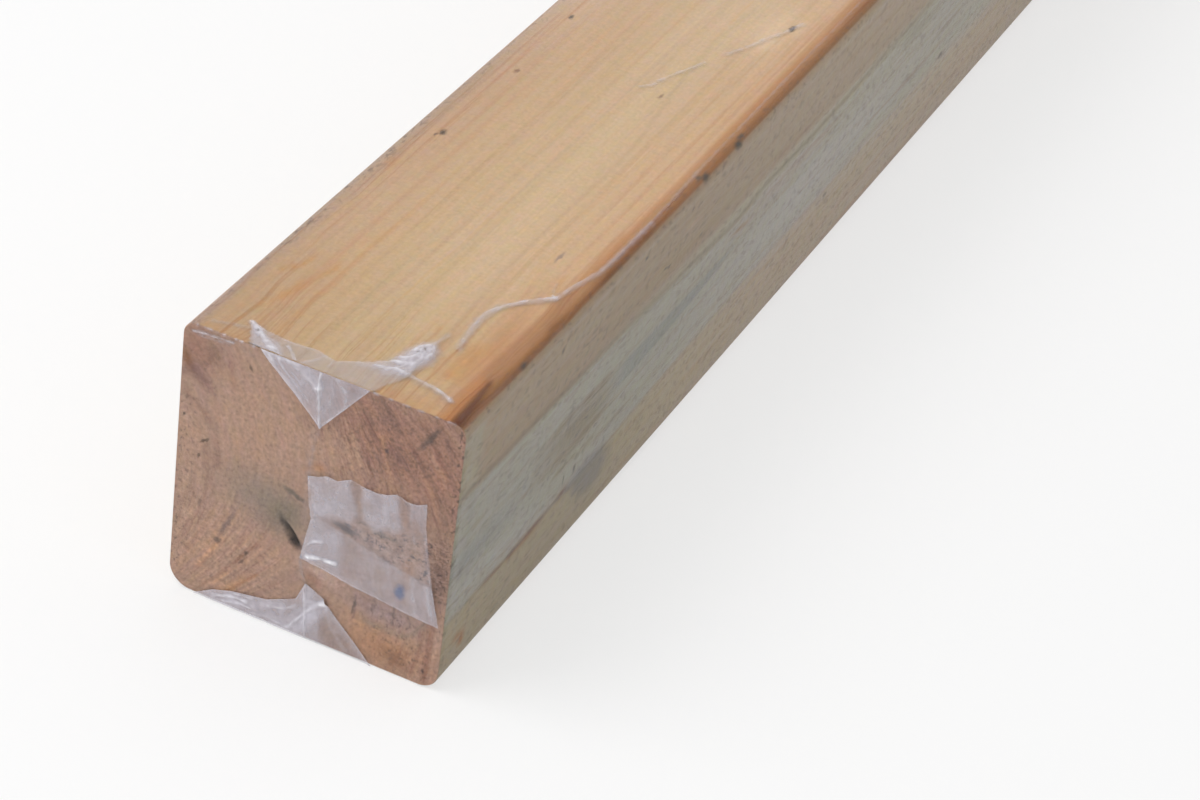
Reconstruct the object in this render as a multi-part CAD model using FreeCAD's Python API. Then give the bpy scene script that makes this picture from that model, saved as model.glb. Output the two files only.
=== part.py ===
import FreeCAD, Part
import os

# Planed timber post lying on one face, in the clear shrink film it is sold in.
# Millimetres. X runs across the post, Y along it, Z is up.
# The near end, where the film is folded and lapped, faces -Y.
# The origin is at the middle of the wrapped post's underside.

os.makedirs("parts", exist_ok=True)
vec = FreeCAD.Vector

# Timber
post_length = 2400.0
post_width = 115.0
post_height = 120.0
arris_top_left = 6.0
arris_top_right = 5.0
arris_bottom_right = 8.0
arris_bottom_left = 9.5

# Film
film_thickness = 0.2
tuck_thickness = 0.4
lap_thickness = 0.25

# Upper tuck: a triangle that hangs from the top edge of an end, its point near the middle line
upper_tuck_left = 25.5
upper_tuck_right = 19.0
upper_tuck_depth = 23.5
upper_tuck_point = 1.0

# Lower tuck: a wider triangle that stands on the bottom edge, its left side sagging inwards
lower_tuck_left = 45.0
lower_tuck_right = 30.0
lower_tuck_height = 25.0
lower_tuck_point = 1.0
lower_tuck_sag = 4.0

# Lap: the ragged end of the under flap, right of the middle seam
lap_left = -2.5
lap_width = 56.0
lap_foot_left = 38.0
lap_foot_right = 30.5
lap_height_left = 36.0
lap_height_right = 52.5
lap_top_inset = 9.5
lap_scallops = 5
lap_scallop_depth = 1.4

# Places worked out from the sizes above
film_width = post_width + 2 * film_thickness
film_height = post_height + 2 * film_thickness
film_length = post_length + 2 * film_thickness
underside = film_thickness
top_edge = underside + post_height


def rounded_section(width, height, radii, base, y):
    """Face of a rectangle in the plane Y = y, with a radius of its own at each corner.

    radii are those of the top left, top right, bottom right and bottom left corners.
    """
    half = width / 2
    corners = (
        (vec(-half, y, base + height), vec(1, 0, 0), vec(0, 0, -1)),
        (vec(half, y, base + height), vec(0, 0, -1), vec(-1, 0, 0)),
        (vec(half, y, base), vec(-1, 0, 0), vec(0, 0, 1)),
        (vec(-half, y, base), vec(0, 0, 1), vec(1, 0, 0)),
    )
    arcs = []
    for radius, (corner, ahead, behind) in zip(radii, corners):
        centre = corner + ahead * radius + behind * radius
        outwards = (corner - centre).normalize()
        start = corner + behind * radius
        end = corner + ahead * radius
        arcs.append((start, centre + outwards * radius, end))
    edges = []
    for index, (start, middle, end) in enumerate(arcs):
        following = arcs[(index + 1) % len(arcs)][0]
        edges.append(Part.Arc(start, middle, end).toShape())
        edges.append(Part.LineSegment(end, following).toShape())
    return Part.Face(Part.Wire(edges))


def timber_post():
    """One length of square stock: its section carried along Y, cut square at both ends."""
    radii = (arris_top_left, arris_top_right, arris_bottom_right, arris_bottom_left)
    section = rounded_section(post_width, post_height, radii, underside, -post_length / 2)
    return section.extrude(vec(0, post_length, 0))


def plate(edges, outwards, thickness):
    """Flat ply on an end of the wrapped post, from a closed outline on that end's face."""
    return Part.Face(Part.Wire(edges)).extrude(vec(0, outwards * thickness, 0))


def chain(points):
    """Straight edges from each point to the next, and back to the first."""
    return [Part.LineSegment(a, b).toShape() for a, b in zip(points, points[1:] + points[:1])]


def upper_tuck(y, outwards):
    """Triangular fold of the end's upper flap."""
    left = vec(-upper_tuck_left, y, top_edge)
    right = vec(upper_tuck_right, y, top_edge)
    point = vec(upper_tuck_point, y, top_edge - upper_tuck_depth)
    return plate(chain([left, right, point]), outwards, tuck_thickness)


def lower_tuck(y, outwards):
    """Triangular fold of the end's lower flap, with one side drawn in by the shrinking."""
    left = vec(-lower_tuck_left, y, underside)
    right = vec(lower_tuck_right, y, underside)
    point = vec(lower_tuck_point, y, underside + lower_tuck_height)
    run = point - left
    inwards = vec(run.z, 0, -run.x).normalize()
    middle = left + run * 0.5 + inwards * lower_tuck_sag
    edges = [
        Part.LineSegment(left, right).toShape(),
        Part.LineSegment(right, point).toShape(),
        Part.Arc(point, middle, left).toShape(),
    ]
    return plate(edges, outwards, tuck_thickness)


def lap(y, outwards):
    """End of the under flap: a four-sided ply whose upper edge is torn in shallow scallops."""
    foot_left = vec(lap_left, y, underside + lap_foot_left)
    foot_right = vec(lap_left + lap_width, y, underside + lap_foot_right)
    head_left = foot_left + vec(0, 0, lap_height_left)
    head_right = foot_right + vec(-lap_top_inset, 0, lap_height_right)
    step = (head_right - head_left) * (1.0 / lap_scallops)
    dip = vec(step.z, 0, -step.x).normalize() * lap_scallop_depth
    edges = [
        Part.LineSegment(head_left, foot_left).toShape(),
        Part.LineSegment(foot_left, foot_right).toShape(),
        Part.LineSegment(foot_right, head_right).toShape(),
    ]
    for index in range(lap_scallops):
        start = head_left + step * index
        end = start + step
        edges.append(Part.Arc(start, start + step * 0.5 + dip, end).toShape())
    return plate(Part.__sortEdges__(edges), outwards, lap_thickness)


def film_wrap(timber):
    """Shrink film: a closed skin face to face with the timber, with the plies folded on its ends."""
    radii = (arris_top_left, arris_top_right, arris_bottom_right, arris_bottom_left)
    grown = [radius + film_thickness for radius in radii]
    section = rounded_section(film_width, film_height, grown, 0.0, -film_length / 2)
    skin = section.extrude(vec(0, film_length, 0)).cut(timber)
    near = -film_length / 2
    far = film_length / 2
    plies = [
        upper_tuck(near, -1),
        lower_tuck(near, -1),
        lap(near, -1),
        upper_tuck(far, 1),
        lower_tuck(far, 1),
    ]
    return skin.fuse(plies).removeSplitter()


def save(shape, node):
    """Write one node's solid and print what it measures."""
    solid = shape.Solids[0]
    box = solid.BoundBox
    print(node, "solids", len(shape.Solids), "valid", solid.isValid(), "volume", round(solid.Volume, 1))
    print("  from", round(box.XMin, 2), round(box.YMin, 2), round(box.ZMin, 2))
    print("  to", round(box.XMax, 2), round(box.YMax, 2), round(box.ZMax, 2))
    solid.exportStep("parts/" + node + ".step")


post = timber_post()
save(post, "timber_post")
save(film_wrap(post), "film_wrap")
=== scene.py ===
import math
import bpy
import numpy as np
from mathutils import Matrix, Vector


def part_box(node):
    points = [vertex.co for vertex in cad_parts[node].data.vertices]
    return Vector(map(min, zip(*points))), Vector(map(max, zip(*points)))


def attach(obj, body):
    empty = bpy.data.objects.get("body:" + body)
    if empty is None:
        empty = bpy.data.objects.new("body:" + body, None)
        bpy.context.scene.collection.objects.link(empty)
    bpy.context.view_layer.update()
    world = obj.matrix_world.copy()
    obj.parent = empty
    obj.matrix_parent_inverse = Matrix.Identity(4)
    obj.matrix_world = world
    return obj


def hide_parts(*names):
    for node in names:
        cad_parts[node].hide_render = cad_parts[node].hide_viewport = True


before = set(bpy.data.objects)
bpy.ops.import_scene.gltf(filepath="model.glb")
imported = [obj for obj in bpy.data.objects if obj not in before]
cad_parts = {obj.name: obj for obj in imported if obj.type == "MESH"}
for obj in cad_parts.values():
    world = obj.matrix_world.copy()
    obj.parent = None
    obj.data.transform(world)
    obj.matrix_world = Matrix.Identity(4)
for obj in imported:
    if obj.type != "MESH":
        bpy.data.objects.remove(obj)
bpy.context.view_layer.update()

postLow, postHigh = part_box("timber_post")
filmLow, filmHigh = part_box("film_wrap")
mm = 0.001
nearEnd = postLow.y  # the sawn end that faces the camera


# Small shared sums, all on whole arrays

def ease(low, high, value):  # 0 below low, 1 above high, a smooth S between
    t = np.clip((value - low) / (high - low), 0, 1)
    return t * t * (3 - 2 * t)


def spot(u, v, place, size, turn=0.0):  # 1 at the middle of a turned ellipse, easing to 0 at its rim
    a, b = u - place[0], v - place[1]
    c, s = math.cos(math.radians(turn)), math.sin(math.radians(turn))
    return 1 - ease(0.0, 1.0, np.hypot((a * c + b * s) / size[0], (b * c - a * s) / size[1]))


def toRoute(u, v, route):  # distance to the nearest straight run of a route
    best = np.full(np.shape(u), 1e9)
    for start, end in zip(route[:-1], route[1:]):
        run = (end[0] - start[0], end[1] - start[1])
        ahead = (u - start[0]) * run[0] + (v - start[1]) * run[1]
        t = np.clip(ahead / (run[0] ** 2 + run[1] ** 2), 0, 1)
        best = np.minimum(best, np.hypot(u - start[0] - t * run[0], v - start[1] - t * run[1]))
    return best


def line(u, v, route, width):  # a soft line along a route, 1 on it
    return np.exp(-(toRoute(u, v, route) / width) ** 2)


def onRoute(route, share):  # the point at a share of a route's length
    route = np.asarray(route, float)
    walked = np.concatenate([[0], np.cumsum(np.linalg.norm(route[1:] - route[:-1], axis=1))])
    return [np.interp(share, walked / walked[-1], route[:, k]) for k in range(route.shape[1])]


def patch(u, v, outline, soft):  # 1 inside an outline, easing to 0 across its edge
    within = np.zeros(np.shape(u), bool)
    for start, end in zip(outline, outline[1:] + outline[:1]):
        level = (v - start[1]) / (end[1] - start[1] + 1e-9)
        within ^= ((start[1] > v) != (end[1] > v)) & (u < start[0] + level * (end[0] - start[0]))
    away = toRoute(u, v, outline + outline[:1])
    return ease(-soft, soft, np.where(within, away, -away))


def height(value, route):  # v read off a route at u
    return np.interp(value, [p[0] for p in route], [p[1] for p in route])


def swell(u, v, seed, waves=9, fineness=2.2):
    # Smooth noise about 0: sines in random directions, each finer and weaker than the last
    draw = np.random.default_rng(seed)
    total = np.zeros(np.broadcast(u, v).shape)
    for k in range(waves):
        angle, phase = draw.uniform(0, 2 * math.pi, 2)
        pitch = fineness ** (k / 3)
        total = total + np.sin((u * math.cos(angle) + v * math.sin(angle)) * pitch + phase) / pitch ** 0.8
    return total / 2.2


def bothWays(rows, cols):  # two parameters from 0 to 1, as arrays of the grid's shape
    return np.broadcast_arrays(np.linspace(0, 1, cols)[None, :], np.linspace(0, 1, rows)[:, None])


# Meshes from arrays

def putMesh(name, points, faces, facts=None, sharpFrom=40):
    mesh = bpy.data.meshes.new(name)
    mesh.from_pydata(points.reshape(-1, 3).tolist(), [], faces.tolist())
    mesh.update()
    mesh.shade_smooth()
    mesh.set_sharp_from_angle(angle=math.radians(sharpFrom))
    kinds = {1: ("FLOAT", "value"), 3: ("FLOAT_VECTOR", "vector"), 4: ("FLOAT_COLOR", "color")}
    for key, values in (facts or {}).items():
        values = np.asarray(values, float)
        kind, field = kinds[values.size // len(mesh.vertices)]
        mesh.attributes.new(key, kind, "POINT").data.foreach_set(field, values.ravel())
    piece = bpy.data.objects.new(name, mesh)
    bpy.context.scene.collection.objects.link(piece)
    return piece


def gridFaces(rows, cols):  # quads between neighbouring rows and columns of a grid
    index = np.arange(rows * cols).reshape(rows, cols)
    return np.stack([index[:-1, :-1], index[:-1, 1:], index[1:, 1:], index[1:, :-1]], -1).reshape(-1, 4)


def fillSection(across, up, width, height, radii, base):
    # A square grid stretched to the section; inside each corner's square the points are drawn
    # in along their ray, so that the square's two outer edges become the arris's arc
    x = (across - 0.5) * width
    z = base + up * height
    for side, level, radius in zip((-1, 1, 1, -1), (1, 1, -1, -1), radii):
        middleX = side * (width / 2 - radius)
        middleZ = base + (height - radius if level > 0 else radius)
        outX, outZ = (x - middleX) * side, (z - middleZ) * level
        inside = (outX > 0) & (outZ > 0)
        draw = np.where(inside, np.maximum(outX, outZ) / np.maximum(np.hypot(outX, outZ), 1e-9), 1)
        x = np.where(inside, middleX + side * outX * draw, x)
        z = np.where(inside, middleZ + level * outZ * draw, z)
    return x, z


def closedLength(width, height, radii, base, stations, cells, soften, relief):
    # A rounded section carried along the stations and closed by a grid at each end. The rim of
    # each end grid is the first row of the sides, drawn in by soften
    share = np.linspace(0, 1, cells + 1)
    gridX, gridZ = fillSection(share[None, :], share[:, None], width, height, radii, base)
    index = np.arange((cells + 1) ** 2).reshape(cells + 1, cells + 1)
    rim = np.concatenate([index[0, :-1], index[:-1, -1], index[-1, :0:-1], index[:0:-1, 0]])
    ringX, ringZ = gridX.ravel()[rim], gridZ.ravel()[rim]
    tangentX, tangentZ = np.roll(ringX, -1) - np.roll(ringX, 1), np.roll(ringZ, -1) - np.roll(ringZ, 1)
    run = np.hypot(tangentX, tangentZ)
    outX, outZ = tangentZ / run, -tangentX / run
    middleZ = base + height / 2
    capX = gridX * (1 - 2 * soften / width)
    capZ = middleZ + (gridZ - middleZ) * (1 - 2 * soften / height)
    sideY = np.asarray(stations, float)[:, None] + 0 * ringX[None, :]
    push = relief(ringX[None, :] + 0 * sideY, sideY, ringZ[None, :] + 0 * sideY)
    sides = np.stack([ringX + push * outX, sideY, ringZ + push * outZ], -1)
    near = np.stack([capX, np.full_like(capX, stations[0] - soften), capZ], -1)
    far = np.stack([capX, np.full_like(capX, stations[-1] + soften), capZ], -1)
    points = np.concatenate([near.reshape(-1, 3), sides.reshape(-1, 3), far.reshape(-1, 3)])
    first, around = (cells + 1) ** 2, len(rim)
    last = first + sides.shape[0] * around
    between = np.arange(first, last).reshape(-1, around)
    rows = np.concatenate([rim[None, :], between, (last + rim)[None, :]])
    following = np.roll(rows, -1, 1)
    band = np.stack([rows[:-1], rows[1:], following[1:], following[:-1]], -1).reshape(-1, 4)
    quads = gridFaces(cells + 1, cells + 1)
    faces = np.concatenate([quads, band, quads[:, ::-1] + last])
    still = np.zeros((first, 2))
    outwards = np.concatenate([still, np.tile(np.stack([outX, outZ], -1), (sides.shape[0], 1)), still])
    isEnd = np.concatenate([np.ones(first), np.zeros(last - first), np.ones(first)])
    return points, faces, outwards, isEnd


# Node helpers

def newMaterial(name):
    material = bpy.data.materials.new(name)
    material.use_nodes = True
    tree = material.node_tree
    tree.nodes.clear()
    return material, tree


def add(tree, kind, **inputs):
    node = tree.nodes.new(kind)
    for key, value in inputs.items():
        numbered = key[0] == "i" and key[1:].isdigit()
        socket = node.inputs[int(key[1:]) if numbered else key.replace("_", " ")]
        if isinstance(value, bpy.types.NodeSocket):
            tree.links.new(value, socket)
        else:
            socket.default_value = value
    return node


def sums(tree, operation, first, second=0.0, third=0.0, clamp=False):
    node = add(tree, "ShaderNodeMath", i0=first, i1=second, i2=third)
    node.operation = operation
    node.use_clamp = clamp
    return node.outputs[0]


def product(tree, *factors):
    total = factors[0]
    for factor in factors[1:]:
        total = sums(tree, "MULTIPLY", total, factor)
    return total


def vectors(tree, operation, first, second=(0, 0, 0)):
    node = add(tree, "ShaderNodeVectorMath", i0=first, i1=second)
    node.operation = operation
    return node.outputs["Value"] if operation in ("LENGTH", "DOT_PRODUCT") else node.outputs["Vector"]


def scaled(tree, vector, factor):
    node = add(tree, "ShaderNodeVectorMath", i0=vector, i3=factor)
    node.operation = "SCALE"
    return node.outputs["Vector"]


def eased(tree, value, low, high, start=0.0, end=1.0):
    node = tree.nodes.new("ShaderNodeMapRange")
    node.interpolation_type = "SMOOTHSTEP"
    for key, number in (("From Min", low), ("From Max", high), ("To Min", start), ("To Max", end)):
        node.inputs[key].default_value = number
    tree.links.new(value, node.inputs["Value"])
    return node.outputs["Result"]


def noise(tree, vector, scale, detail=3.0, roughness=0.55):
    node = add(tree, "ShaderNodeTexNoise", Vector=vector, Scale=scale, Detail=detail, Roughness=roughness)
    return node.outputs["Fac"]


def blend(tree, share, first, second, mode="MIX"):
    node = tree.nodes.new("ShaderNodeMix")
    node.data_type = "RGBA"
    node.blend_type = mode
    for key, value in ((0, share), (6, first), (7, second)):
        if isinstance(value, bpy.types.NodeSocket):
            tree.links.new(value, node.inputs[key])
        else:
            node.inputs[key].default_value = value if key == 0 else (*value, 1.0)
    return node.outputs[2]


def centred(tree, node):  # a noise node's colour, moved so that it lies about 0
    return vectors(tree, "SUBTRACT", node.outputs["Color"], (0.5, 0.5, 0.5))


def multiplied(tree, share, colour, tint):  # the colour times a tint, mixed in by a share
    return blend(tree, share, colour, blend(tree, 1.0, colour, tint, "MULTIPLY"))


def show(tree, shader, output="ShaderNodeOutputMaterial"):
    tree.links.new(shader.outputs[0], tree.nodes.new(output).inputs["Surface"])


def fact(tree, name, output="Fac"):
    node = tree.nodes.new("ShaderNodeAttribute")
    node.attribute_name = name
    return node.outputs[output]


# Timber. Lengths in millimetres: x across from the middle, y from the near end, z up from the
# floor. Colours as they look under the studio's light, 0 to 255; albedo() takes the light out

timber = dict(
    radii=(6.0, 5.0, 8.0, 9.5),
    cells=130,
    finePitch=4.0, fineLength=60.0,
    rowPitch=7.0, shownLength=640.0,
    coarseRows=14,
    rimSoften=0.4,
    # depth and swing of the planer's marks, depth of the saw's, and the check at the heart
    planed=(0.10, 0.08),
    sawn=0.07,
    heartCheck=dict(place=(-7, 44), size=(2.2, 9.5), turn=35, depth=2.6),
    endTone=(163.0, 136.0, 117.0),
    endCast=(1.0, 1.0, 1.035),
    nearWarmth=(0.045, 0.05, 0.07),
    hueDrift=(0.10, 0.10, 0.26),
    # on the long faces, on the ends
    darkTints=((0.86, 0.75, 0.66), (0.60, 0.52, 0.51)),
    paleTints=((1.06, 1.04, 1.00), (1.30, 1.23, 1.12)),
    tornTint=(0.52, 0.35, 0.28),
    crumbleTint=(0.075, 0.058, 0.060),
    speckTint=(0.085, 0.055, 0.045),
    specular=0.30, coat=0.10, coatRoughness=0.18, roughness=(0.40, 0.56),
    # the faces that the photograph does not show: squeeze, shift across, place along, dimness
    hiddenUnder=(0.75, -4, 900, 0.92),
    hiddenLeft=(0.75, -6, 1500, 0.94),
    light=dict(top=(0.97, 0.05), side=(0.80, 0.04), end=(0.83, 0.035)),
    topStops=(
        (-57.5, (160, 140, 126)),
        (-52.5, (183, 157, 136)),
        (-47.0, (196, 165, 137)),
        (-20.0, (202, 172, 139)),
        (10.0, (207, 180, 147)),
        (38.0, (206, 174, 141)),
        (46.4, (205, 170, 137)),
        (48.6, (190, 149, 114)),
        (51.4, (172, 132, 98)),
        (54.0, (154, 113, 82)),
        (57.5, (132, 102, 78)),
    ),
    topLines=(
        # place across, half width, how much darker in red, green and blue
        (-45.0, 1.2, (0.02, 0.05, 0.07)),
        (-41.0, 0.9, (0.02, 0.04, 0.05)),
        (-37.0, 1.0, (0.03, 0.06, 0.08)),
        (-32.5, 1.2, (0.02, 0.06, 0.08)),
        (-26.0, 1.0, (0.02, 0.09, 0.12)),
        (-19.5, 1.0, (0.06, 0.07, 0.07)),
        (-17.0, 0.8, (0.05, 0.06, 0.06)),
        (-11.0, 1.4, (0.06, 0.05, 0.07)),
        (-5.5, 1.0, (0.04, 0.06, 0.05)),
        (-2.2, 1.0, (-0.03, -0.03, -0.03)),
        (0.4, 0.8, (-0.04, -0.04, -0.04)),
        (3.0, 0.9, (0.06, 0.07, 0.06)),
        (5.4, 1.3, (0.06, 0.07, 0.09)),
        (26.8, 1.0, (0.05, 0.06, 0.07)),
        (29.5, 0.8, (-0.02, -0.02, -0.02)),
        (34.5, 0.9, (0.04, 0.05, 0.05)),
        (41.0, 1.0, (0.05, 0.06, 0.06)),
        (45.8, 0.8, (0.06, 0.10, 0.13)),
        (47.4, 0.7, (-0.05, -0.05, -0.05)),
        (50.3, 0.9, (0.00, 0.07, 0.09)),
        (52.2, 0.8, (-0.06, -0.07, -0.08)),
    ),
    greyLine=(
        (17, 345), (14, 305), (15.8, 275), (19, 245), (22.5, 212),
        (24, 190), (22.6, 150), (22, 100), (24, 60), (25, 0),
    ),
    sideStops=(
        (0.0, (134, 122, 107)),
        (10.0, (140, 130, 112)),
        (30.0, (141, 132, 113)),
        (45.0, (139, 134, 122)),
        (62.0, (139, 135, 122)),
        (84.0, (146, 139, 124)),
        (88.0, (138, 124, 108)),
        (96.0, (140, 127, 110)),
        (117.0, (144, 131, 116)),
        (120.0, (141, 120, 98)),
    ),
)


def byStops(value, stops):  # colour read off a list of (place, colour), straight lines between
    places = [place for place, colour in stops]
    channels = zip(*(colour for place, colour in stops))
    return np.stack([np.interp(value, places, channel) for channel in channels], -1)


# Named tones of the wood and its dirt, and the pale ones of the painted glare on the top,
# as they look under the studio's light
woodAndGlareTones = dict(
    umber=(105, 75, 55), soot=(95, 85, 80), sienna=(125, 90, 65), rust=(135, 90, 55),
    cocoa=(115, 95, 85), chestnut=(130, 95, 80), mocha=(125, 100, 90), shale=(120, 110, 95),
    hazel=(135, 105, 85), slate=(115, 112, 108), driftwood=(125, 115, 100), walnut=(135, 110, 95),
    olive=(125, 120, 100), lead=(120, 122, 115), russet=(148, 115, 98), taupe=(138, 125, 110),
    amber=(180, 128, 90), stone=(148, 132, 118), copper=(170, 130, 100), lichen=(142, 140, 125),
    caramel=(185, 140, 100), fawn=(170, 140, 118), honey=(195, 148, 100), tan=(188, 148, 115),
    ash=(155, 152, 145), clay=(175, 150, 135), biscuit=(185, 155, 130), straw=(205, 162, 122),
    cream=(218, 192, 168), ivory=(235, 210, 180), sepia=(120, 108, 85), dove=(152, 132, 125),
    shell=(178, 154, 140),
)


def lay(tone, share, name):  # lays a named tone over the painting by a share at each point
    return tone + share[..., None] * (np.array(woodAndGlareTones[name], float) - tone)


def layEllipses(tone, u, v, places, cover=1.0, grow=1.0):
    # Lays soft ellipses over the painting, from (place, half sizes, turn, tone, strength)
    for place, size, turn, name, strength in places:
        share = spot(u, v, place, [half * grow for half in size], turn)
        tone = lay(tone, strength * cover * share, name)
    return tone


def drag(tone, u, v, streaks, seed):
    # Lays ragged, broken strokes over the painting, from (route, width, tone, strength)
    for index, (route, width, name, strength) in enumerate(streaks):
        ragged = width * (1 + 0.45 * swell(u * 0.4, v * 0.3, seed + index))
        broken = np.clip(0.62 + 0.6 * swell(u * 0.25, v * 0.16, seed + 60 + index), 0, 1)
        aside = 0.7 * swell(u * 0.1, v * 0.22, seed + 120 + index)
        tone = lay(tone, strength * broken * line(u + aside, v, route, ragged), name)
    return tone


def albedo(tone, face):
    # Screen colour, 0 to 255, to the reflectance that gives it under the studio's light on that face
    screen = np.clip(tone, 0, 255) / 255
    linear = np.where(screen <= 0.04045, screen / 12.92, ((screen + 0.055) / 1.055) ** 2.4)
    gain, veil = timber["light"][face]
    return np.clip((linear - veil) / gain, 0.004, 0.92)


nearStains = (
    # place across and along, half sizes, turn, tone, strength
    ((43, 50), (9, 62), 6, "amber", 0.45),
)
topStainsAndGlare = (
    ((-48.4, 135.5), (4.4, 5.0), 0, "honey", 0.55),
    # painted glare far along the top
    ((30, 328), (12, 34), 0, "ivory", 0.45),
)
topAreas = (
    # outline across and along, softness, tone, strength
    (((54.4, -4), (54.6, 30), (55.4, 80), (58.5, 80), (58.5, -4)), 1.0, "russet", 0.7),
    (((46.0, -4), (45.6, 22), (47.4, 50), (50.8, 50), (52.4, -4)), 2.4, "amber", 0.75),
    (((50.6, -4), (50.6, 14), (50.4, 32), (51.8, 31), (53.6, 16), (55.2, -4)), 1.5, "umber", 0.95),
    (((46.6, 52), (47.2, 150), (51.5, 150), (51.2, 52)), 1.2, "caramel", 0.45),
    (((34.5, 22), (34, 46), (41, 50), (43, 24)), 3.0, "honey", 0.55),
    (((-52, -2), (-50, 3), (-38, 4), (-30, -2)), 3.5, "tan", 0.45),
    (((20, -2), (22, 7), (42, 8), (44, -2)), 3.5, "tan", 0.5),
    (((46.4, 30), (46.8, 60), (48.0, 96), (51.5, 96), (52.0, 60), (51.8, 30)), 1.6, "copper", 0.9),
    (((-59, -4), (-59, 62), (-53, 60), (-50.5, 30), (-51, -4)), 1.6, "clay", 0.6),
)
topStreaks = (
    # route across and along, width, tone, strength
    (((-37.4, 71), (-38.8, 62), (-41.3, 54), (-44.4, 49)), 1.3, "honey", 0.75),
    (((-29, 62), (-30.8, 54), (-33.4, 45)), 1.5, "honey", 0.65),
    (((-33.6, 44), (-36, 36), (-39.4, 26)), 1.7, "honey", 0.6),
    (((-26, 92), (-31, 78), (-34, 72)), 0.9, "straw", 0.5),
    (((43.0, 102), (43.4, 92), (44.2, 88)), 1.6, "honey", 0.55),
    (((47.6, 84), (49.4, 66), (50.2, 44)), 0.7, "honey", 0.35),
    (((49.6, 118), (50.4, 134), (50.6, 152)), 1.2, "amber", 0.6),
    (((36.6, 24), (38.4, 34), (39.6, 46)), 0.8, "amber", 0.5),
    (((31.5, 24), (30.6, 34), (32.4, 44)), 0.7, "caramel", 0.5),
    (((20.6, 48), (21.4, 40), (19.6, 36)), 1.0, "honey", 0.5),
    (((55.6, 40), (54.6, 62), (54.2, 90)), 0.9, "sienna", 0.6),
    (((56.8, 96), (56.0, 120), (56.2, 152)), 1.0, "umber", 0.6),
)


def topTones(x, y):
    tone = byStops(x + 0.7 * swell(y * 0.02, 0 * y, 3), timber["topStops"])
    for place, width, darker in timber["topLines"]:
        wander = place + 0.8 * swell(y * 0.012, 0 * y + place, int(place * 7) + 900)
        comesAndGoes = 0.7 + 0.5 * swell(y * 0.02, 0 * y + place, int(place * 5) + 500)
        share = np.exp(-((x - wander) / width) ** 2) * comesAndGoes
        tone = tone * (1 - share[:, None] * np.array(darker) * 0.55)
    tone = tone * (1 - 0.035 * np.exp(-(toRoute(x, y, timber["greyLine"]) / 1.1) ** 2))[:, None]
    warm = 1 - ease(0, 110, y)
    tone = tone * (1 - warm[:, None] * np.array(timber["nearWarmth"]))
    tone = layEllipses(tone, x, y, nearStains)
    for outline, soft, name, strength in topAreas:
        tone = lay(tone, strength * patch(x, y, outline, soft), name)
    tone = drag(tone, x, y, topStreaks, 1000)
    tone = layEllipses(tone, x, y, topStainsAndGlare)
    # Painted glare far along the top: pale highlights laid in ivory and cream
    glare = 0.30 * spot(x, y, (33.5, 316), (6, 14)) + 0.4 * spot(x, y, (39.5, 336), (4, 10))
    tone = lay(tone, glare, "ivory")
    tone = lay(tone, 0.40 * ease(210, 330, y) * (1 - ease(-50, -20, x)), "cream")
    tone = lay(tone, 0.32 * ease(240, 420, y) * (1 - ease(44, 50, x)), "cream")
    figure = 0.36 + 1.0 * ease(44, 50, x) + 0.3 * ease(20, 40, x)
    figure = figure + 0.8 * (1 - ease(-50, -36, x)) + 0.9 * (1 - ease(0, 80, y))
    dusty = 0.6 + 0.4 * ease(50, 80, y) * (1 - ease(140, 200, y))
    grime = dusty * (1 - ease(-56.5, -48, x)) + 0.35 * ease(50, 54, x)
    return tone, figure, grime


# The film's side lap: its edges, y and z, and what the water under it left on the timber
lapLines = dict(
    upper=(
        (0, 86.5), (75, 85.2), (140, 83.5), (200, 80.2), (238, 77.3), (252, 77.5),
        (272, 80), (330, 79.5), (400, 81.2), (460, 82.5), (640, 83), (2401, 83),
    ),
    lower=((0, 31.5), (100, 32.5), (200, 37), (270, 39.6), (400, 40.5), (640, 41), (2401, 41)),
    green=(146, 142, 128),
    tealLow=((120, 57), (175, 58), (215, 60.5), (255, 65)),
    tealHigh=((120, 68), (180, 66.5), (255, 66)),
    smudge=((101, 34), (112, 36), (129, 35.5), (138, 29), (135, 20), (127, 16.5), (113, 18), (106, 25)),
)
sideStreaks = (
    # route along and up, width, tone, strength
    (((10, 18.5), (15, 16.5), (17, 13)), 1.6, "rust", 0.8),
    (((18, 22), (19, 18)), 1.2, "sienna", 0.6),
    (((30, 31.0), (48, 30.2), (62, 30.6), (78, 31.4), (96, 32.4)), 1.3, "umber", 0.95),
    (((52, 29.6), (66, 28.8), (76, 28.4)), 1.0, "sienna", 0.6),
    (((0, 59), (4, 56.5), (8.5, 51)), 0.7, "soot", 0.7),
    (((3, 104), (3.6, 70), (3, 42)), 1.5, "ash", 0.5),
    (((12.5, 82), (13.5, 60), (13, 44)), 1.5, "lead", 0.45),
    (((17.5, 58), (18.5, 44)), 1.0, "slate", 0.5),
    (((24, 50), (25, 36)), 1.0, "ash", 0.4),
    (((66, 66), (80, 67), (96, 70), (116, 69), (128, 66)), 1.6, "sepia", 0.7),
    (((62, 60), (84, 61), (110, 63)), 1.4, "sepia", 0.6),
    (((70, 52), (96, 50), (126, 53)), 1.5, "sepia", 0.6),
    (((88, 46), (112, 44.6), (134, 47)), 1.3, "sepia", 0.6),
    (((100, 57), (122, 58.5)), 1.2, "sepia", 0.6),
    (((120, 41), (150, 42.5)), 1.0, "driftwood", 0.5),
    (((236, 74), (252, 72), (262, 70.6)), 1.0, "sienna", 0.65),
    (((284, 90), (300, 89.4), (330, 87.6)), 0.8, "cocoa", 0.5),
    (((20, 96), (70, 95), (150, 93)), 1.3, "driftwood", 0.5),
    (((90, 116), (130, 115), (190, 116)), 1.4, "stone", 0.4),
    (((190, 104), (206, 102.4)), 0.9, "clay", 0.5),
    (((170, 22), (240, 24), (320, 21)), 1.6, "taupe", 0.4),
)
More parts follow.
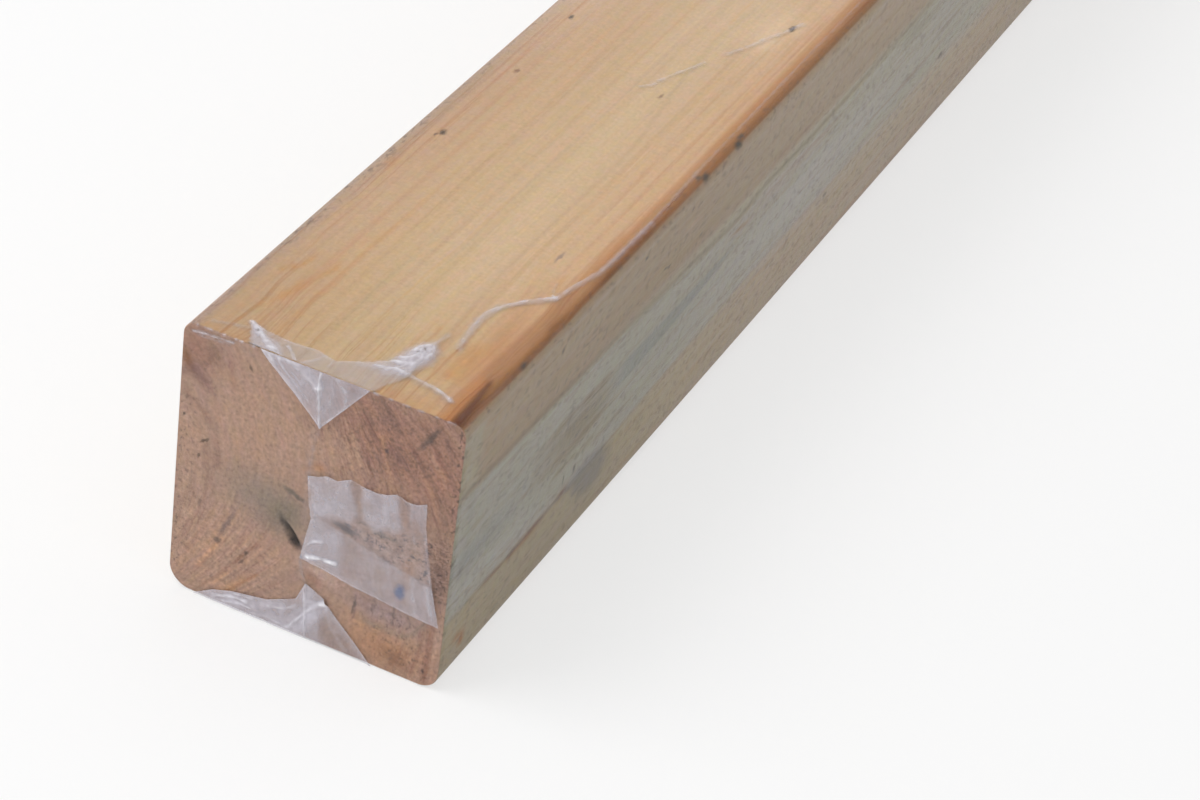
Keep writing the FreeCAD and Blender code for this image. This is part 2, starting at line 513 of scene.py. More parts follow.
lapStains = (
    # place along and up, half sizes, turn, tone, strength
    ((18, 54), (62, 10), 0, "lead", 0.55),
    ((30, 40), (80, 11), -2, "ash", 0.60),
)
lapStainsBeyond = (
    ((330, 55), (170, 18), 2, "ash", 0.60),
    ((300, 74), (75, 7), 0, "stone", 0.45),
)
farStains = (
    ((450, 76), (44, 6.5), -2, "olive", 0.60),
    ((495, 58), (30, 2.6), 3, "shale", 0.50),
    ((455, 49), (34, 3.2), 0, "driftwood", 0.40),
    ((352, 53.5), (30, 1.8), -3, "taupe", 0.40),
)


def sideTones(y, z):
    rim = 0.8 * swell(y * 0.16, z * 0.1, 71)
    upperEdge, lowerEdge = height(y, lapLines["upper"]), height(y, lapLines["lower"])
    inLap = ease(-0.5, 0.5, upperEdge + rim * 0.5 - z) * ease(-0.8, 0.8, z - lowerEdge + rim)
    below = 1 - ease(-1, 1, z - lowerEdge)
    tone = byStops(z, timber["sideStops"])
    # Between the lap's two edges the timber looks greyer and greener, and bluer close to the end
    green = np.array(lapLines["green"]) * (1 - 0.035 * (1 - ease(0, 130, y)))[:, None]
    tone = tone + inLap[:, None] * (green - tone) * 0.8
    tone = layEllipses(tone, y, z, lapStains, inLap)
    brown = spot(y + 6 * rim, z + 2 * rim, (102, 60), (50, 15))
    tone = lay(tone, 0.80 * inLap * brown, "sepia")
    teal = ease(-0.8, 0.8, z - height(y, lapLines["tealLow"]))
    teal = teal * ease(-1.2, 1.2, height(y, lapLines["tealHigh"]) - z)
    tone = lay(tone, 0.65 * teal * ease(125, 150, y) * (1 - ease(225, 262, y)), "lead")
    tone = layEllipses(tone, y, z, lapStainsBeyond, inLap)
    tone = layEllipses(tone, y, z, farStains)
    tone = lay(tone, 0.80 * patch(y + 2.5 * rim, z + rim, lapLines["smudge"], 3.0), "slate")
    tone = drag(tone, y, z, sideStreaks, 1600)
    overlap = (1 - ease(13, 17.5, y)) * ease(86, 89, z) * (1 - ease(112, 118, z))
    tone = lay(tone, 0.55 * overlap, "lichen")
    # A painted shadow line just above the lap's upper edge, and a fainter dark line just below its lower
    # edge
    upperShadowLine = np.exp(-((z - upperEdge - 1.6) / 1.6) ** 2)
    lowerLine = np.exp(-((z - lowerEdge + 1.2) / 1.2) ** 2) * (1 - ease(300, 420, y))
    tone = tone * (1 - 0.10 * upperShadowLine)[:, None] * (1 - 0.05 * lowerLine)[:, None]
    # Further along the light is stronger, and the timber outside the lap is warmer
    lighter = 0.05 * ease(120, 420, y) + below * (0.06 * ease(110, 200, y) - 0.01 * ease(260, 420, y))
    tone = tone * (1 + lighter)[:, None]
    tone = tone * (1 - (1 - inLap)[:, None] * np.array((-0.014, 0.0, 0.022)))
    tone = tone * (1 + (below * ease(120, 300, y))[:, None] * np.array((0.012, 0.0, 0.045)))
    tone = tone * (1 + (inLap * ease(140, 260, y))[:, None] * np.array((0.018, 0.008, 0.008)))
    mottled = spot(y, z, (98, 57), (60, 22))
    return tone, np.clip(0.45 + 0.25 * inLap + 0.9 * mottled, 0, 1.2), 0.38 + 0.3 * mottled


endPlaces = (
    # place, half sizes, turn, tone, strength
    ((30, 102), (44, 30), -28, "russet", 0.95),
    ((50, 100), (12, 34), 10, "russet", 0.8),
    ((33, 97), (8, 6), -40, "mocha", 0.7),
    ((25.5, 111), (4.5, 3.5), -50, "soot", 0.20),
    ((7, 88), (13, 9), 0, "fawn", 0.9),
    ((1.5, 79), (3.4, 2.8), 0, "amber", 0.5),
    ((53, 58), (6, 34), 0, "walnut", 0.9),
    ((-24, 90), (28, 34), 0, "fawn", 0.8),
    ((-51, 110), (11, 16), 30, "russet", 0.8),
    ((-50, 99), (3.2, 11), 50, "mocha", 0.7),
    ((-43, 110), (2.6, 8), 48, "walnut", 0.7),
    ((-55, 104), (3.0, 6), 20, "sienna", 0.7),
    ((-47, 83.5), (12, 1.6), -43, "walnut", 0.5),
    ((-36.5, 105), (1.6, 11), 12, "russet", 0.5),
    ((-52, 70), (8, 20), 0, "fawn", 0.7),
    ((-40, 22), (22, 26), -30, "fawn", 0.8),
    ((-22, 30), (18, 12), 30, "fawn", 0.8),
    ((-31, 10), (14, 3), 45, "tan", 0.5),
    ((-46, 12), (9, 8), 0, "fawn", 0.6),
    ((-52, 36), (4, 2.5), 0, "biscuit", 0.8),
    ((-17, 55), (24, 14), -14, "taupe", 0.85),
    ((-11, 52), (8, 12), -33, "driftwood", 0.75),
    ((7, 33), (12, 6), -16, "shell", 0.85),
    ((3, 28.5), (5, 3.5), -30, "russet", 0.75),
    ((33, 27), (20, 8.5), -2, "dove", 1.0),
    ((34, 19.5), (12, 1.8), 2, "stone", 0.8),
    ((34, 10), (22, 12), 0, "copper", 0.8),
    ((22, 18), (6, 8), 30, "tan", 0.4),
    ((39, 8), (4, 8), 66, "hazel", 0.7),
    ((52.5, 16), (3.5, 20), 0, "russet", 0.8),
    ((54.4, 20), (0.9, 18), 0, "fawn", 0.6),
    ((32, 55), (16, 6), -10, "clay", 0.9),
    ((40, 50), (4, 6), -10, "copper", 0.8),
    ((15, 57.4), (5.5, 2.4), -12, "soot", 0.85),
    ((30, 60.5), (12, 1.8), -4, "shale", 0.6),
    ((31, 50.5), (4, 2), -20, "cocoa", 0.7),
    ((24.5, 55), (1.6, 4), 20, "cocoa", 0.7),
    ((36, 57), (1.8, 4), -30, "cocoa", 0.7),
    ((53.5, 50), (4.5, 12), 0, "cocoa", 0.7),
    ((47.5, 60), (3, 3), 0, "mocha", 0.6),
)
endStrokes = (
    # route on the end, width, tone, strength
    (((-55.5, 89.5), (-48, 84.5), (-42, 77), (-39.2, 62)), 1.3, "walnut", 0.5),
    (((-57, 97), (-52, 100.5), (-46.5, 106), (-41, 113)), 1.6, "mocha", 0.5),
    (((-57, 84), (-53.5, 76), (-52.5, 60), (-54, 44)), 1.2, "biscuit", 0.4),
    (((-44.5, 70), (-43.4, 56), (-44, 44)), 1.1, "walnut", 0.4),
    (((-49.5, 52), (-49, 40), (-51, 30)), 0.9, "hazel", 0.4),
    (((-46, 13), (-40, 23), (-35, 31)), 1.1, "tan", 0.55),
    (((-38, 8), (-31, 17), (-25, 24)), 1.1, "tan", 0.5),
    (((-33, 6), (-27, 13), (-20, 20)), 0.9, "caramel", 0.55),
    (((-42, 28), (-38, 36), (-33, 44)), 1.1, "hazel", 0.5),
    (((-30, 22), (-26, 28), (-20, 34)), 0.8, "chestnut", 0.45),
    (((-50, 20), (-45, 30), (-42, 40)), 0.9, "walnut", 0.45),
    (((10.5, 104), (14.4, 97), (17.8, 88)), 1.1, "biscuit", 0.6),
    (((24.4, 103), (28, 93), (31.5, 82)), 1.0, "tan", 0.6),
    (((32.5, 104), (38.9, 97), (47, 87)), 1.0, "tan", 0.6),
    (((15, 116), (21, 106), (25, 96), (27, 86)), 1.2, "cocoa", 0.45),
    (((24, 118), (31, 108), (38, 100), (45, 92), (52, 84)), 1.2, "cocoa", 0.5),
    (((46.5, 115), (43.9, 109.4), (40, 104)), 1.2, "soot", 0.6),
    (((50, 112), (53, 104), (55, 92)), 1.0, "cocoa", 0.5),
    (((44, 104), (50, 95), (54, 86)), 0.9, "fawn", 0.5),
    (((20, 92), (23, 84), (24, 80)), 0.9, "mocha", 0.4),
    (((0, 116), (6, 106), (10, 96)), 1.2, "walnut", 0.4),
    (((-2, 79.5), (6, 82), (14, 84)), 0.7, "russet", 0.4),
    (((-4, 76), (2, 79), (9, 80.5)), 0.7, "hazel", 0.4),
    (((21.4, 29), (20.4, 24), (20.2, 19)), 0.6, "soot", 0.6),
    (((20, 22), (26, 19.4), (34, 18.2), (40, 18.6), (46, 22), (49.5, 29)), 0.9, "driftwood", 0.5),
    (((29, 31), (28.4, 25)), 0.5, "soot", 0.5),
    (((36, 30), (36.4, 23)), 0.5, "soot", 0.5),
    (((43, 29), (43.6, 24)), 0.5, "soot", 0.5),
    (((37, 2), (39, 8), (41, 13)), 1.3, "chestnut", 0.5),
    (((46, 4), (48, 14), (49, 24)), 1.0, "chestnut", 0.45),
    (((54.4, 2), (54.8, 20), (55.4, 36)), 1.0, "biscuit", 0.5),
    (((51.6, 4), (52.4, 18), (53.2, 30)), 1.0, "chestnut", 0.5),
)
# Where the end's grain shows strongly, where dirt sits in it and where the saw tore it
boldPlaces = (
    # place, half sizes, power, strength
    ((32, 100), (48, 40), 0.5, 0.65),
    ((-34, 22), (34, 34), 0.6, 0.50),
    ((48, 12), (14, 20), 1.0, 0.40),
    ((4, 88), (12, 9), 1.0, -0.30),
    ((-18, 56), (22, 14), 1.0, -0.25),
)
dirtPlaces = (
    ((42, 14), (24, 22), 1.0, 0.35),
    ((34, 100), (34, 26), 1.0, 0.30),
    ((54, 50), (9, 18), 1.0, 0.80),
    ((24, 56), (20, 6), 1.0, 0.30),
)
tornOutline = (
    (12, 60), (17, 66), (23, 62), (34, 64), (48, 68), (57, 66),
    (57, 40), (50, 45), (36, 49), (24, 53), (12, 55),
)


def gather(x, z, start, places):  # a starting value with a spot added at each place
    total = start + 0 * x
    for place, size, power, strength in places:
        total = total + strength * spot(x, z, place, size) ** power
    return total


def endTones(x, z):
    tone = np.tile(np.array(timber["endTone"]), (len(x), 1))
    tone = layEllipses(tone, x, z, endPlaces, grow=1.25)
    tone = drag(tone, x, z, endStrokes, 1300)
    tone = tone * np.array(timber["endCast"])
    figure = np.clip(gather(x, z, 0.35, boldPlaces), 0.1, 1.1)
    grime = gather(x, z, 0.26, dirtPlaces) + 0.80 * ease(52, 57, x) * ease(20, 40, z)
    grime = grime + 0.35 * (1 - ease(-57, -46, x)) * (1 - ease(80, 100, z))
    torn = patch(x, z, tornOutline, 2.5) * (1 - 0.5 * ease(49, 52, x))
    torn = torn + 0.45 * spot(x, z, (34, 26), (16, 8))
    return tone, figure, np.clip(grime, 0, 1), np.clip(torn, 0, 1)


# Places on the end where the run of the grain was read, as x, z and its angle in degrees
grainLeft = (
    (-52, 105, -48), (-48, 84, -43), (-33, 105, -58), (-20, 90, -75), (-8, 80, -84),
    (-43, 60, -90), (-52, 45, -92), (-44, 20, -124), (-36, 30, -121), (-27, 14, -130),
    (-20, 20, -127), (-12, 30, -134), (-52, 10, -124), (-8, 60, -100),
)
grainRight = (
    (16, 95, -70), (27, 92, -64), (30, 86, -60), (43, 94, -51), (36, 101, -40),
    (25, 112, -46), (50, 75, -62), (50, 110, -50), (53, 15, -90), (38, 6, -108),
    (20, 24, -96), (45, 30, -96), (30, 55, -74), (10, 60, -76), (8, 30, -110),
)


def grainAcross(x, z, readings):
    # A cubic in x and z whose level lines run along the readings: its slope along each reading is
    # nothing and across it is one, fitted by least squares
    powers = [(i, j) for i in range(4) for j in range(4) if 0 < i + j < 4]
    scale = 60.0

    def slopes(a, b):
        a, b = np.asarray(a, float) / scale, (np.asarray(b, float) - scale) / scale
        da = np.stack([i * a ** max(i - 1, 0) * b ** j for i, j in powers], -1) / scale
        db = np.stack([j * a ** i * b ** max(j - 1, 0) for i, j in powers], -1) / scale
        return da, db

    places = np.array(readings, float)
    da, db = slopes(places[:, 0], places[:, 1])
    angle = np.radians(places[:, 2])[:, None]
    along = da * np.cos(angle) + db * np.sin(angle)
    across = da * np.sin(angle) - db * np.cos(angle)
    wanted = np.concatenate([np.zeros(len(places)), -np.ones(len(places))])
    weights = np.linalg.lstsq(np.concatenate([along * 3, across]), wanted, rcond=None)[0]
    a, b = x / scale, (z - scale) / scale
    return sum(w * a ** i * b ** j for w, (i, j) in zip(weights, powers))


def paintTimber(points, outwards, isEnd):
    x, z = points[:, 0] / mm, points[:, 2] / mm
    y = (points[:, 1] - nearEnd) / mm
    upper = ease(0.60, 0.80, outwards[:, 1])
    under = ease(0.60, 0.80, -outwards[:, 1])
    flank = 1 - upper - under
    onEnd = isEnd > 0.5
    top, topFigure, topGrime = topTones(x, y)
    side, sideFigure, sideGrime = sideTones(y, z)
    # The two faces the photograph does not show: plain timber in the colours of the top
    squeeze, shift, along, dim = timber["hiddenUnder"]
    plain, plainFigure, plainGrime = topTones(x * squeeze + shift, y + along)
    underneath = under[:, None] * albedo(plain * dim, "top")
    squeeze, shift, along, dim = timber["hiddenLeft"]
    other, otherFigure, otherGrime = topTones((z - 60) * squeeze + shift, y + along)
    onLeft = x < 0
    side = np.where(onLeft[:, None], albedo(other * dim, "side"), albedo(side, "side"))
    tone = upper[:, None] * albedo(top, "top") + flank[:, None] * side + underneath
    flankFigure = np.where(onLeft, otherFigure, sideFigure)
    flankGrime = np.where(onLeft, 0.3 * otherGrime, sideGrime)
    figure = upper * topFigure + flank * flankFigure + under * plainFigure
    grime = upper * topGrime + flank * flankGrime + under * 0.3 * plainGrime
    end, endFigure, endGrime, torn = endTones(np.where(points[:, 1] > 0, -x, x), z)
    tone = np.where(onEnd[:, None], albedo(end, "end"), tone)
    figure, grime = np.where(onEnd, endFigure, figure), np.where(onEnd, endGrime, grime)
    # The grain's own coordinates: across it twice and along it, the last shrunk so that noise
    # read there comes out drawn into fibres
    wavy = 1.5 * swell(x * 0.06, y * 0.05, 61) * (1 - ease(50, 170, y))
    flow = np.stack([x + wavy, z, y / 70], -1)
    acrossEnd = np.where(x < -1, grainAcross(x, z, grainLeft), 40 + grainAcross(x, z, grainRight))
    flow = np.where(onEnd[:, None], np.stack([acrossEnd, (z - 0.4 * x) / 11, 0 * x + 7], -1), flow)
    opaque = np.concatenate([tone, np.ones((len(x), 1))], -1)
    torn = np.where(onEnd, torn, 0)
    return dict(figure=figure, grime=grime, flow=flow, endGrain=isEnd, torn=torn, tone=opaque)


marks = (
    # place, half sizes, turn about y, colour, strength
    ((-8.8, 0, 46.4), (2.0, 6, 8.0), -38, (0.050, 0.040, 0.036), 0.85),
    ((-5.4, 0, 41.8), (2.9, 6, 4.6), -50, (0.020, 0.016, 0.015), 0.95),
    ((-7.5, 0, 63.0), (6.5, 6, 1.5), 20, (0.11, 0.10, 0.085), 0.7),
    ((13.5, 0, 57.0), (6, 6, 1.8), 10, (0.06, 0.05, 0.05), 0.6),
    ((-34.5, 0, 37.0), (1.5, 6, 9.0), 24, (0.12, 0.09, 0.085), 0.6),
    ((-37.6, 0, 28.6), (1.9, 6, 2.0), 24, (0.06, 0.05, 0.05), 0.7),
    ((-25.3, 0, 27.8), (0.9, 6, 1.7), 28, (0.08, 0.055, 0.045), 0.75),
    ((-27.0, 0, 23.2), (1.2, 6, 1.8), 30, (0.10, 0.06, 0.05), 0.7),
    ((-46.2, 0, 42.5), (1.0, 6, 2.6), 8, (0.12, 0.08, 0.06), 0.6),
    ((-46.0, 0, 71.0), (2.8, 6, 0.7), -40, (0.07, 0.045, 0.03), 0.8),
    ((-47.8, 0, 63.2), (0.8, 6, 1.4), 15, (0.07, 0.045, 0.03), 0.8),
    ((-55.0, 0, 79.4), (0.7, 6, 1.4), 30, (0.07, 0.05, 0.04), 0.8),
    ((-28.8, 0, 110.5), (0.7, 6, 1.8), -25, (0.08, 0.055, 0.045), 0.7),
    ((20.6, 0, 24.0), (0.8, 6, 5.0), 6, (0.06, 0.05, 0.045), 0.6),
    ((51.0, 0, 7.2), (1.0, 6, 1.4), 0, (0.05, 0.03, 0.03), 0.8),
    ((27.5, 0, 97.5), (1.2, 6, 1.1), 0, (0.06, 0.04, 0.045), 0.75),
    ((44.0, 0, 110.0), (1.4, 6, 7.0), 32, (0.08, 0.06, 0.05), 0.6),
    ((38.4, 0, 38.6), (2.7, 6, 4.4), 8, (0.020, 0.070, 0.22), 1.0),
    ((56.0, 236, 119.2), (2.0, 4.2, 2.4), 0, (0.055, 0.046, 0.034), 0.95),
    ((54.6, 241, 120.2), (1.3, 3.6, 2.0), 0, (0.075, 0.060, 0.045), 0.8),
    ((55.8, 205, 119.4), (2.2, 3.6, 2.2), 0, (0.060, 0.050, 0.040), 0.9),
    ((54.4, 201, 120.2), (1.6, 2.4, 1.8), 0, (0.085, 0.070, 0.052), 0.8),
    ((55.8, 47, 119.6), (1.3, 4.0, 1.8), 0, (0.06, 0.05, 0.04), 0.8),
    ((-43.0, 170, 120), (1.6, 2.6, 3), 0, (0.09, 0.06, 0.04), 0.95),
    ((-44.6, 167, 120), (0.8, 1.8, 3), 0, (0.12, 0.08, 0.06), 0.8),
    ((-43.5, 285, 120), (1.1, 2.6, 3), 0, (0.10, 0.08, 0.06), 0.9),
    ((-41.5, 231, 120), (1.1, 2.4, 3), 0, (0.24, 0.12, 0.07), 0.8),
    ((15.0, 249, 120), (1.0, 2.4, 3), 0, (0.25, 0.14, 0.08), 0.8),
    ((34.8, 117, 120), (0.9, 5.0, 3), 0, (0.25, 0.18, 0.15), 0.7),
    ((36.8, 335, 120), (1.5, 3.6, 3), 0, (0.08, 0.055, 0.04), 0.95),
    ((57.6, 78, 108.5), (3, 1.2, 1.7), 0, (0.10, 0.07, 0.05), 0.75),
    ((57.6, 149, 111.5), (3, 1.9, 1.1), 0, (0.08, 0.07, 0.065), 0.8),
    ((57.6, 171, 95.2), (3, 2.4, 0.8), 0, (0.09, 0.07, 0.055), 0.8),
    ((57.6, 174.4, 94.0), (3, 2.6, 0.7), 0, (0.07, 0.05, 0.04), 0.8),
    ((57.6, 192, 111.6), (3, 1.7, 0.9), 0, (0.16, 0.10, 0.07), 0.6),
    ((57.6, 95.6, 38.6), (3, 0.9, 2.9), 0, (0.06, 0.055, 0.045), 0.75),
    ((57.6, 105, 38.5), (3, 1.2, 2.4), 0, (0.07, 0.055, 0.045), 0.75),
    ((57.6, 55, 30.8), (3, 8.5, 0.9), 0, (0.12, 0.07, 0.04), 0.8),
    ((57.6, 90, 31.8), (3, 10, 0.9), 0, (0.14, 0.09, 0.06), 0.7),
    ((57.6, 205, 93), (3, 2.0, 1.2), 0, (0.12, 0.10, 0.08), 0.6),
    ((57.6, 493, 42), (3, 4.0, 1.5), 0, (0.09, 0.06, 0.04), 0.8),
    ((57.6, 355, 35), (3, 3.0, 1.6), 0, (0.13, 0.10, 0.08), 0.65),
)


def timberMaterial():
    material, tree = newMaterial("planedSoftwood")
    place = tree.nodes.new("ShaderNodeTexCoord").outputs["Object"]
    ends, tone = fact(tree, "endGrain"), fact(tree, "tone", "Color")
    figure, grime, flow = fact(tree, "figure"), fact(tree, "grime"), fact(tree, "flow", "Vector")

    def byFace(onSides, onEnds):  # one value for the long faces and another for the ends
        return eased(tree, ends, 0.0, 1.0, onSides, onEnds)

    # Fibres and wider strokes drawn out along the grain, and a mottle that has no direction
    fibre = noise(tree, flow, byFace(1.0, 1.2), 4.0, 0.62)
    stroke = noise(tree, flow, byFace(0.32, 0.5), 3.0, 0.6)
    pore = noise(tree, place, 600.0, 3.0, 0.72)
    mottle = add(tree, "ShaderNodeTexNoise", Vector=place, Scale=210.0, Detail=3.0, Roughness=0.62)
    grain = sums(tree, "ADD", product(tree, fibre, 0.50), product(tree, stroke, 0.34))
    grain = sums(tree, "ADD", grain, product(tree, mottle.outputs["Fac"], 0.16))
    raised = sums(tree, "ADD", byFace(0.48, 0.75), product(tree, ends, figure, 0.9))
    lift = product(tree, sums(tree, "SUBTRACT", grain, 0.5), raised)
    rough = product(tree, ends, sums(tree, "ADD", 0.20, product(tree, figure, 1.05)))
    fine = product(tree, sums(tree, "SUBTRACT", pore, 0.5), sums(tree, "ADD", 0.42, rough))
    shade = sums(tree, "ADD", 1.0, sums(tree, "ADD", lift, fine))
    # Hue drifts a little from fibre to fibre
    drift = add(tree, "ShaderNodeTexNoise", Vector=flow, Scale=0.42, Detail=4.0, Roughness=0.7)
    drift = vectors(tree, "ADD", centred(tree, drift), centred(tree, mottle))
    drift = scaled(tree, drift, byFace(1.45, 1.0))
    drift = vectors(tree, "ADD", vectors(tree, "MULTIPLY", drift, timber["hueDrift"]), (1, 1, 1))
    colour = scaled(tree, vectors(tree, "MULTIPLY", tone, drift), shade)
    # Dark late-wood strokes and paler ones between
    dark = product(tree, eased(tree, stroke, 0.47, 0.62), eased(tree, fibre, 0.38, 0.58), figure)
    pale = product(tree, eased(tree, stroke, 0.52, 0.38), eased(tree, fibre, 0.64, 0.44), figure)
    for share, tints in ((dark, timber["darkTints"]), (pale, timber["paleTints"])):
        tint = blend(tree, ends, *tints)
        colour = multiplied(tree, product(tree, share, 0.9), colour, tint)
    # Torn end grain: pinkish islands with dark crumbled hollows between
    torn = fact(tree, "torn")
    island = noise(tree, vectors(tree, "MULTIPLY", place, (300, 300, 420)), 1.0, 6.0, 0.82)
    pitted = eased(tree, mottle.outputs["Fac"], 0.40, 0.56)
    crumble = product(tree, eased(tree, island, 0.495, 0.425), pitted, torn)
    islands = product(tree, eased(tree, island, 0.50, 0.57), torn)
    # Dirt specks where grime is high
    speck = noise(tree, vectors(tree, "MULTIPLY", place, (620, 260, 520)), 1.0, 2.0)
    specks = product(tree, eased(tree, speck, 0.54, 0.66), grime)
    for share, strength, tint in (
        (islands, 0.60, timber["tornTint"]),
        (crumble, 0.85, timber["crumbleTint"]),
        (specks, 0.8, timber["speckTint"]),
    ):
        colour = blend(tree, product(tree, share, strength), colour, tint)
    # Object coordinates shaken a little, so that no mark has a drawn edge
    shake = add(tree, "ShaderNodeTexNoise", Vector=place, Scale=420.0, Detail=3.0, Roughness=0.7)
    wobble = vectors(tree, "MULTIPLY", centred(tree, shake), (3 * mm,) * 3)
    shaken = vectors(tree, "ADD", wobble, place)
    for centre, size, angle, tint, strength in marks:
        middle = (centre[0] * mm, centre[1] * mm + nearEnd, centre[2] * mm)
        inner = vectors(tree, "SUBTRACT", shaken, middle)
        if angle:
            turned = add(tree, "ShaderNodeVectorRotate", Vector=inner, Angle=math.radians(-angle))
            turned.rotation_type = "Y_AXIS"
            inner = turned.outputs[0]
        perHalf = tuple(1 / (half * mm) for half in size)
        reach = vectors(tree, "LENGTH", vectors(tree, "MULTIPLY", inner, perHalf))
        colour = blend(tree, product(tree, eased(tree, reach, 1.25, 0.25), strength), colour, tint)
    relief = sums(tree, "ADD", grain, product(tree, dark, -0.4))
    bump = add(tree, "ShaderNodeBump", Strength=0.5, Distance=0.35 * mm, Height=relief)
    gloss = eased(tree, grain, 0.3, 0.7, *timber["roughness"])
    surface = add(
        tree, "ShaderNodeBsdfPrincipled", Base_Color=colour, Roughness=gloss, Normal=bump.outputs[0],
        Specular_IOR_Level=timber["specular"], Coat_Weight=timber["coat"],
        Coat_Roughness=timber["coatRoughness"])
    show(tree, surface)
    return material


def buildTimber():
    soften = timber["rimSoften"] * mm
    near = nearEnd + soften
    fine = np.arange(0, timber["fineLength"], timber["finePitch"]) * mm + near
    shown = np.arange(timber["fineLength"], timber["shownLength"], timber["rowPitch"]) * mm + near
    coarse = np.linspace(shown[-1], postHigh.y - soften, timber["coarseRows"] + 1)[1:]

    def planing(x, y, z):  # the planer's slight rise and fall, never outwards
        low, swing = timber["planed"]
        return (-low + swing * swell(x * 45, y * 9, 4)) * mm

    points, faces, outwards, isEnd = closedLength(
        postHigh.x - postLow.x, postHigh.z - postLow.z, [r * mm for r in timber["radii"]], postLow.z,
        np.concatenate([fine, shown, coarse]), timber["cells"], soften, planing)
    facts = paintTimber(points, outwards, isEnd)
    x, z = points[:, 0] / mm, points[:, 2] / mm
    atNear = (isEnd > 0.5) & (points[:, 1] < 0)
    check = timber["heartCheck"]
    depth = check["depth"] * spot(x, z, check["place"], check["size"], check["turn"])
    depth = depth + timber["sawn"] * (1 + swell(x * 0.9, z * 0.9, 8))
    points[:, 1] += np.where(atNear, depth * mm, 0)
    piece = putMesh("timberPost", points, faces, facts)
    piece.data.materials.append(timberMaterial())
    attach(piece, "root")
    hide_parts("timber_post")
    print("timber made:", len(piece.data.polygons), "faces")
    return piece


buildTimber()


# Film. Haze is how milky one wall is at a point: 0 clear, 1 white. Crease adds bright fold lines,
# partly the film's own whitening at its folds and partly painted highlight along them

film = dict(
    skinHaze=0.006,
    milk=(0.80, 0.77, 0.86),
    frostAndGlint=(0.95, 0.95, 1.0),
    dirt=(0.06, 0.05, 0.05),
    roughness=0.16, specular=0.55,
    # wall of the skin, of the loose folds and of the glints; a face that shows less than unseen is cut
    wall=0.12, looseWall=0.08, glintWall=0.06, unseen=0.012,
    cells=56,
    rowPitch=5.0, shownLength=640.1, coarseRows=30,
    rimSoften=0.5,
    # the solid film's own thickness, on the faces and in the tucks
    skinThickness=0.2, tuckThickness=0.4,
    flatWidth=0.52, flatLength=2.56,
)


def filmMaterial():
    material, tree = newMaterial("clearFilm")
    place = tree.nodes.new("ShaderNodeTexCoord").outputs["Object"]
    haze, creaseAndGlint = fact(tree, "haze"), fact(tree, "creaseAndGlint")
    cloud = noise(tree, vectors(tree, "MULTIPLY", place, (110, 60, 110)), 1.0, 4.0, 0.6)
    thread = noise(tree, vectors(tree, "MULTIPLY", place, (520, 300, 150)), 1.0, 4.0, 0.7)
    threads = eased(tree, thread, 0.56, 0.78, 0.0, 0.28)
    body = sums(tree, "ADD", eased(tree, cloud, 0.30, 0.70, 0.70, 1.20), threads)
    # Fold whiteness, partly the film's own whitening and partly painted highlight, makes the film whiter
    # and less clear
    see = sums(tree, "ADD", product(tree, haze, body), product(tree, creaseAndGlint, 0.7), clamp=True)
    whiter = sums(tree, "ADD", creaseAndGlint, eased(tree, thread, 0.58, 0.78, 0.0, 0.35), clamp=True)
    tint = blend(tree, whiter, film["milk"], film["frostAndGlint"])
    tint = blend(tree, fact(tree, "dirt"), tint, film["dirt"])
    ruck = noise(tree, vectors(tree, "MULTIPLY", place, (240, 160, 240)), 1.0, 3.0)
    bump = add(tree, "ShaderNodeBump", Strength=0.4, Distance=0.6 * mm, Height=ruck)
    surface = add(
        tree, "ShaderNodeBsdfPrincipled", Base_Color=tint, Alpha=see, Normal=bump.outputs[0],
        Roughness=film["roughness"], Specular_IOR_Level=film["specular"])
    show(tree, surface)
    return material


clearFilm = filmMaterial()


def dressFilm(piece, wall):
    piece.data.materials.append(clearFilm)
    ply = piece.modifiers.new("ply", "SOLIDIFY")
    ply.thickness = wall * mm
    ply.offset = -1
    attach(piece, "root")
    return piece


def sheetPiece(name, points, haze, creaseAndGlint, wall=0.1, flip=False, trim=None, dirt=0.0):
    # A film sheet from a grid. Where trim is given, faces that show less than it are cut away
    faces = gridFaces(*points.shape[:2])
    if flip:
        faces = faces[:, ::-1]
    facts = dict(haze=haze, creaseAndGlint=creaseAndGlint, dirt=dirt)
    facts = {key: values + 0 * points[..., 0] for key, values in facts.items()}
    points = points.reshape(-1, 3)
    if trim is not None:
        seen = (facts["haze"] + facts["creaseAndGlint"]).ravel() > trim
        faces = faces[seen[faces].any(1)]
        used, faces = np.unique(faces, return_inverse=True)
        faces, points = faces.reshape(-1, 4), points[used]
        facts = {key: values.ravel()[used] for key, values in facts.items()}
    facts = {key: np.clip(values, 0, 1) for key, values in facts.items()}
    piece = dressFilm(putMesh(name, points, faces, facts, 60), wall)
    return piece


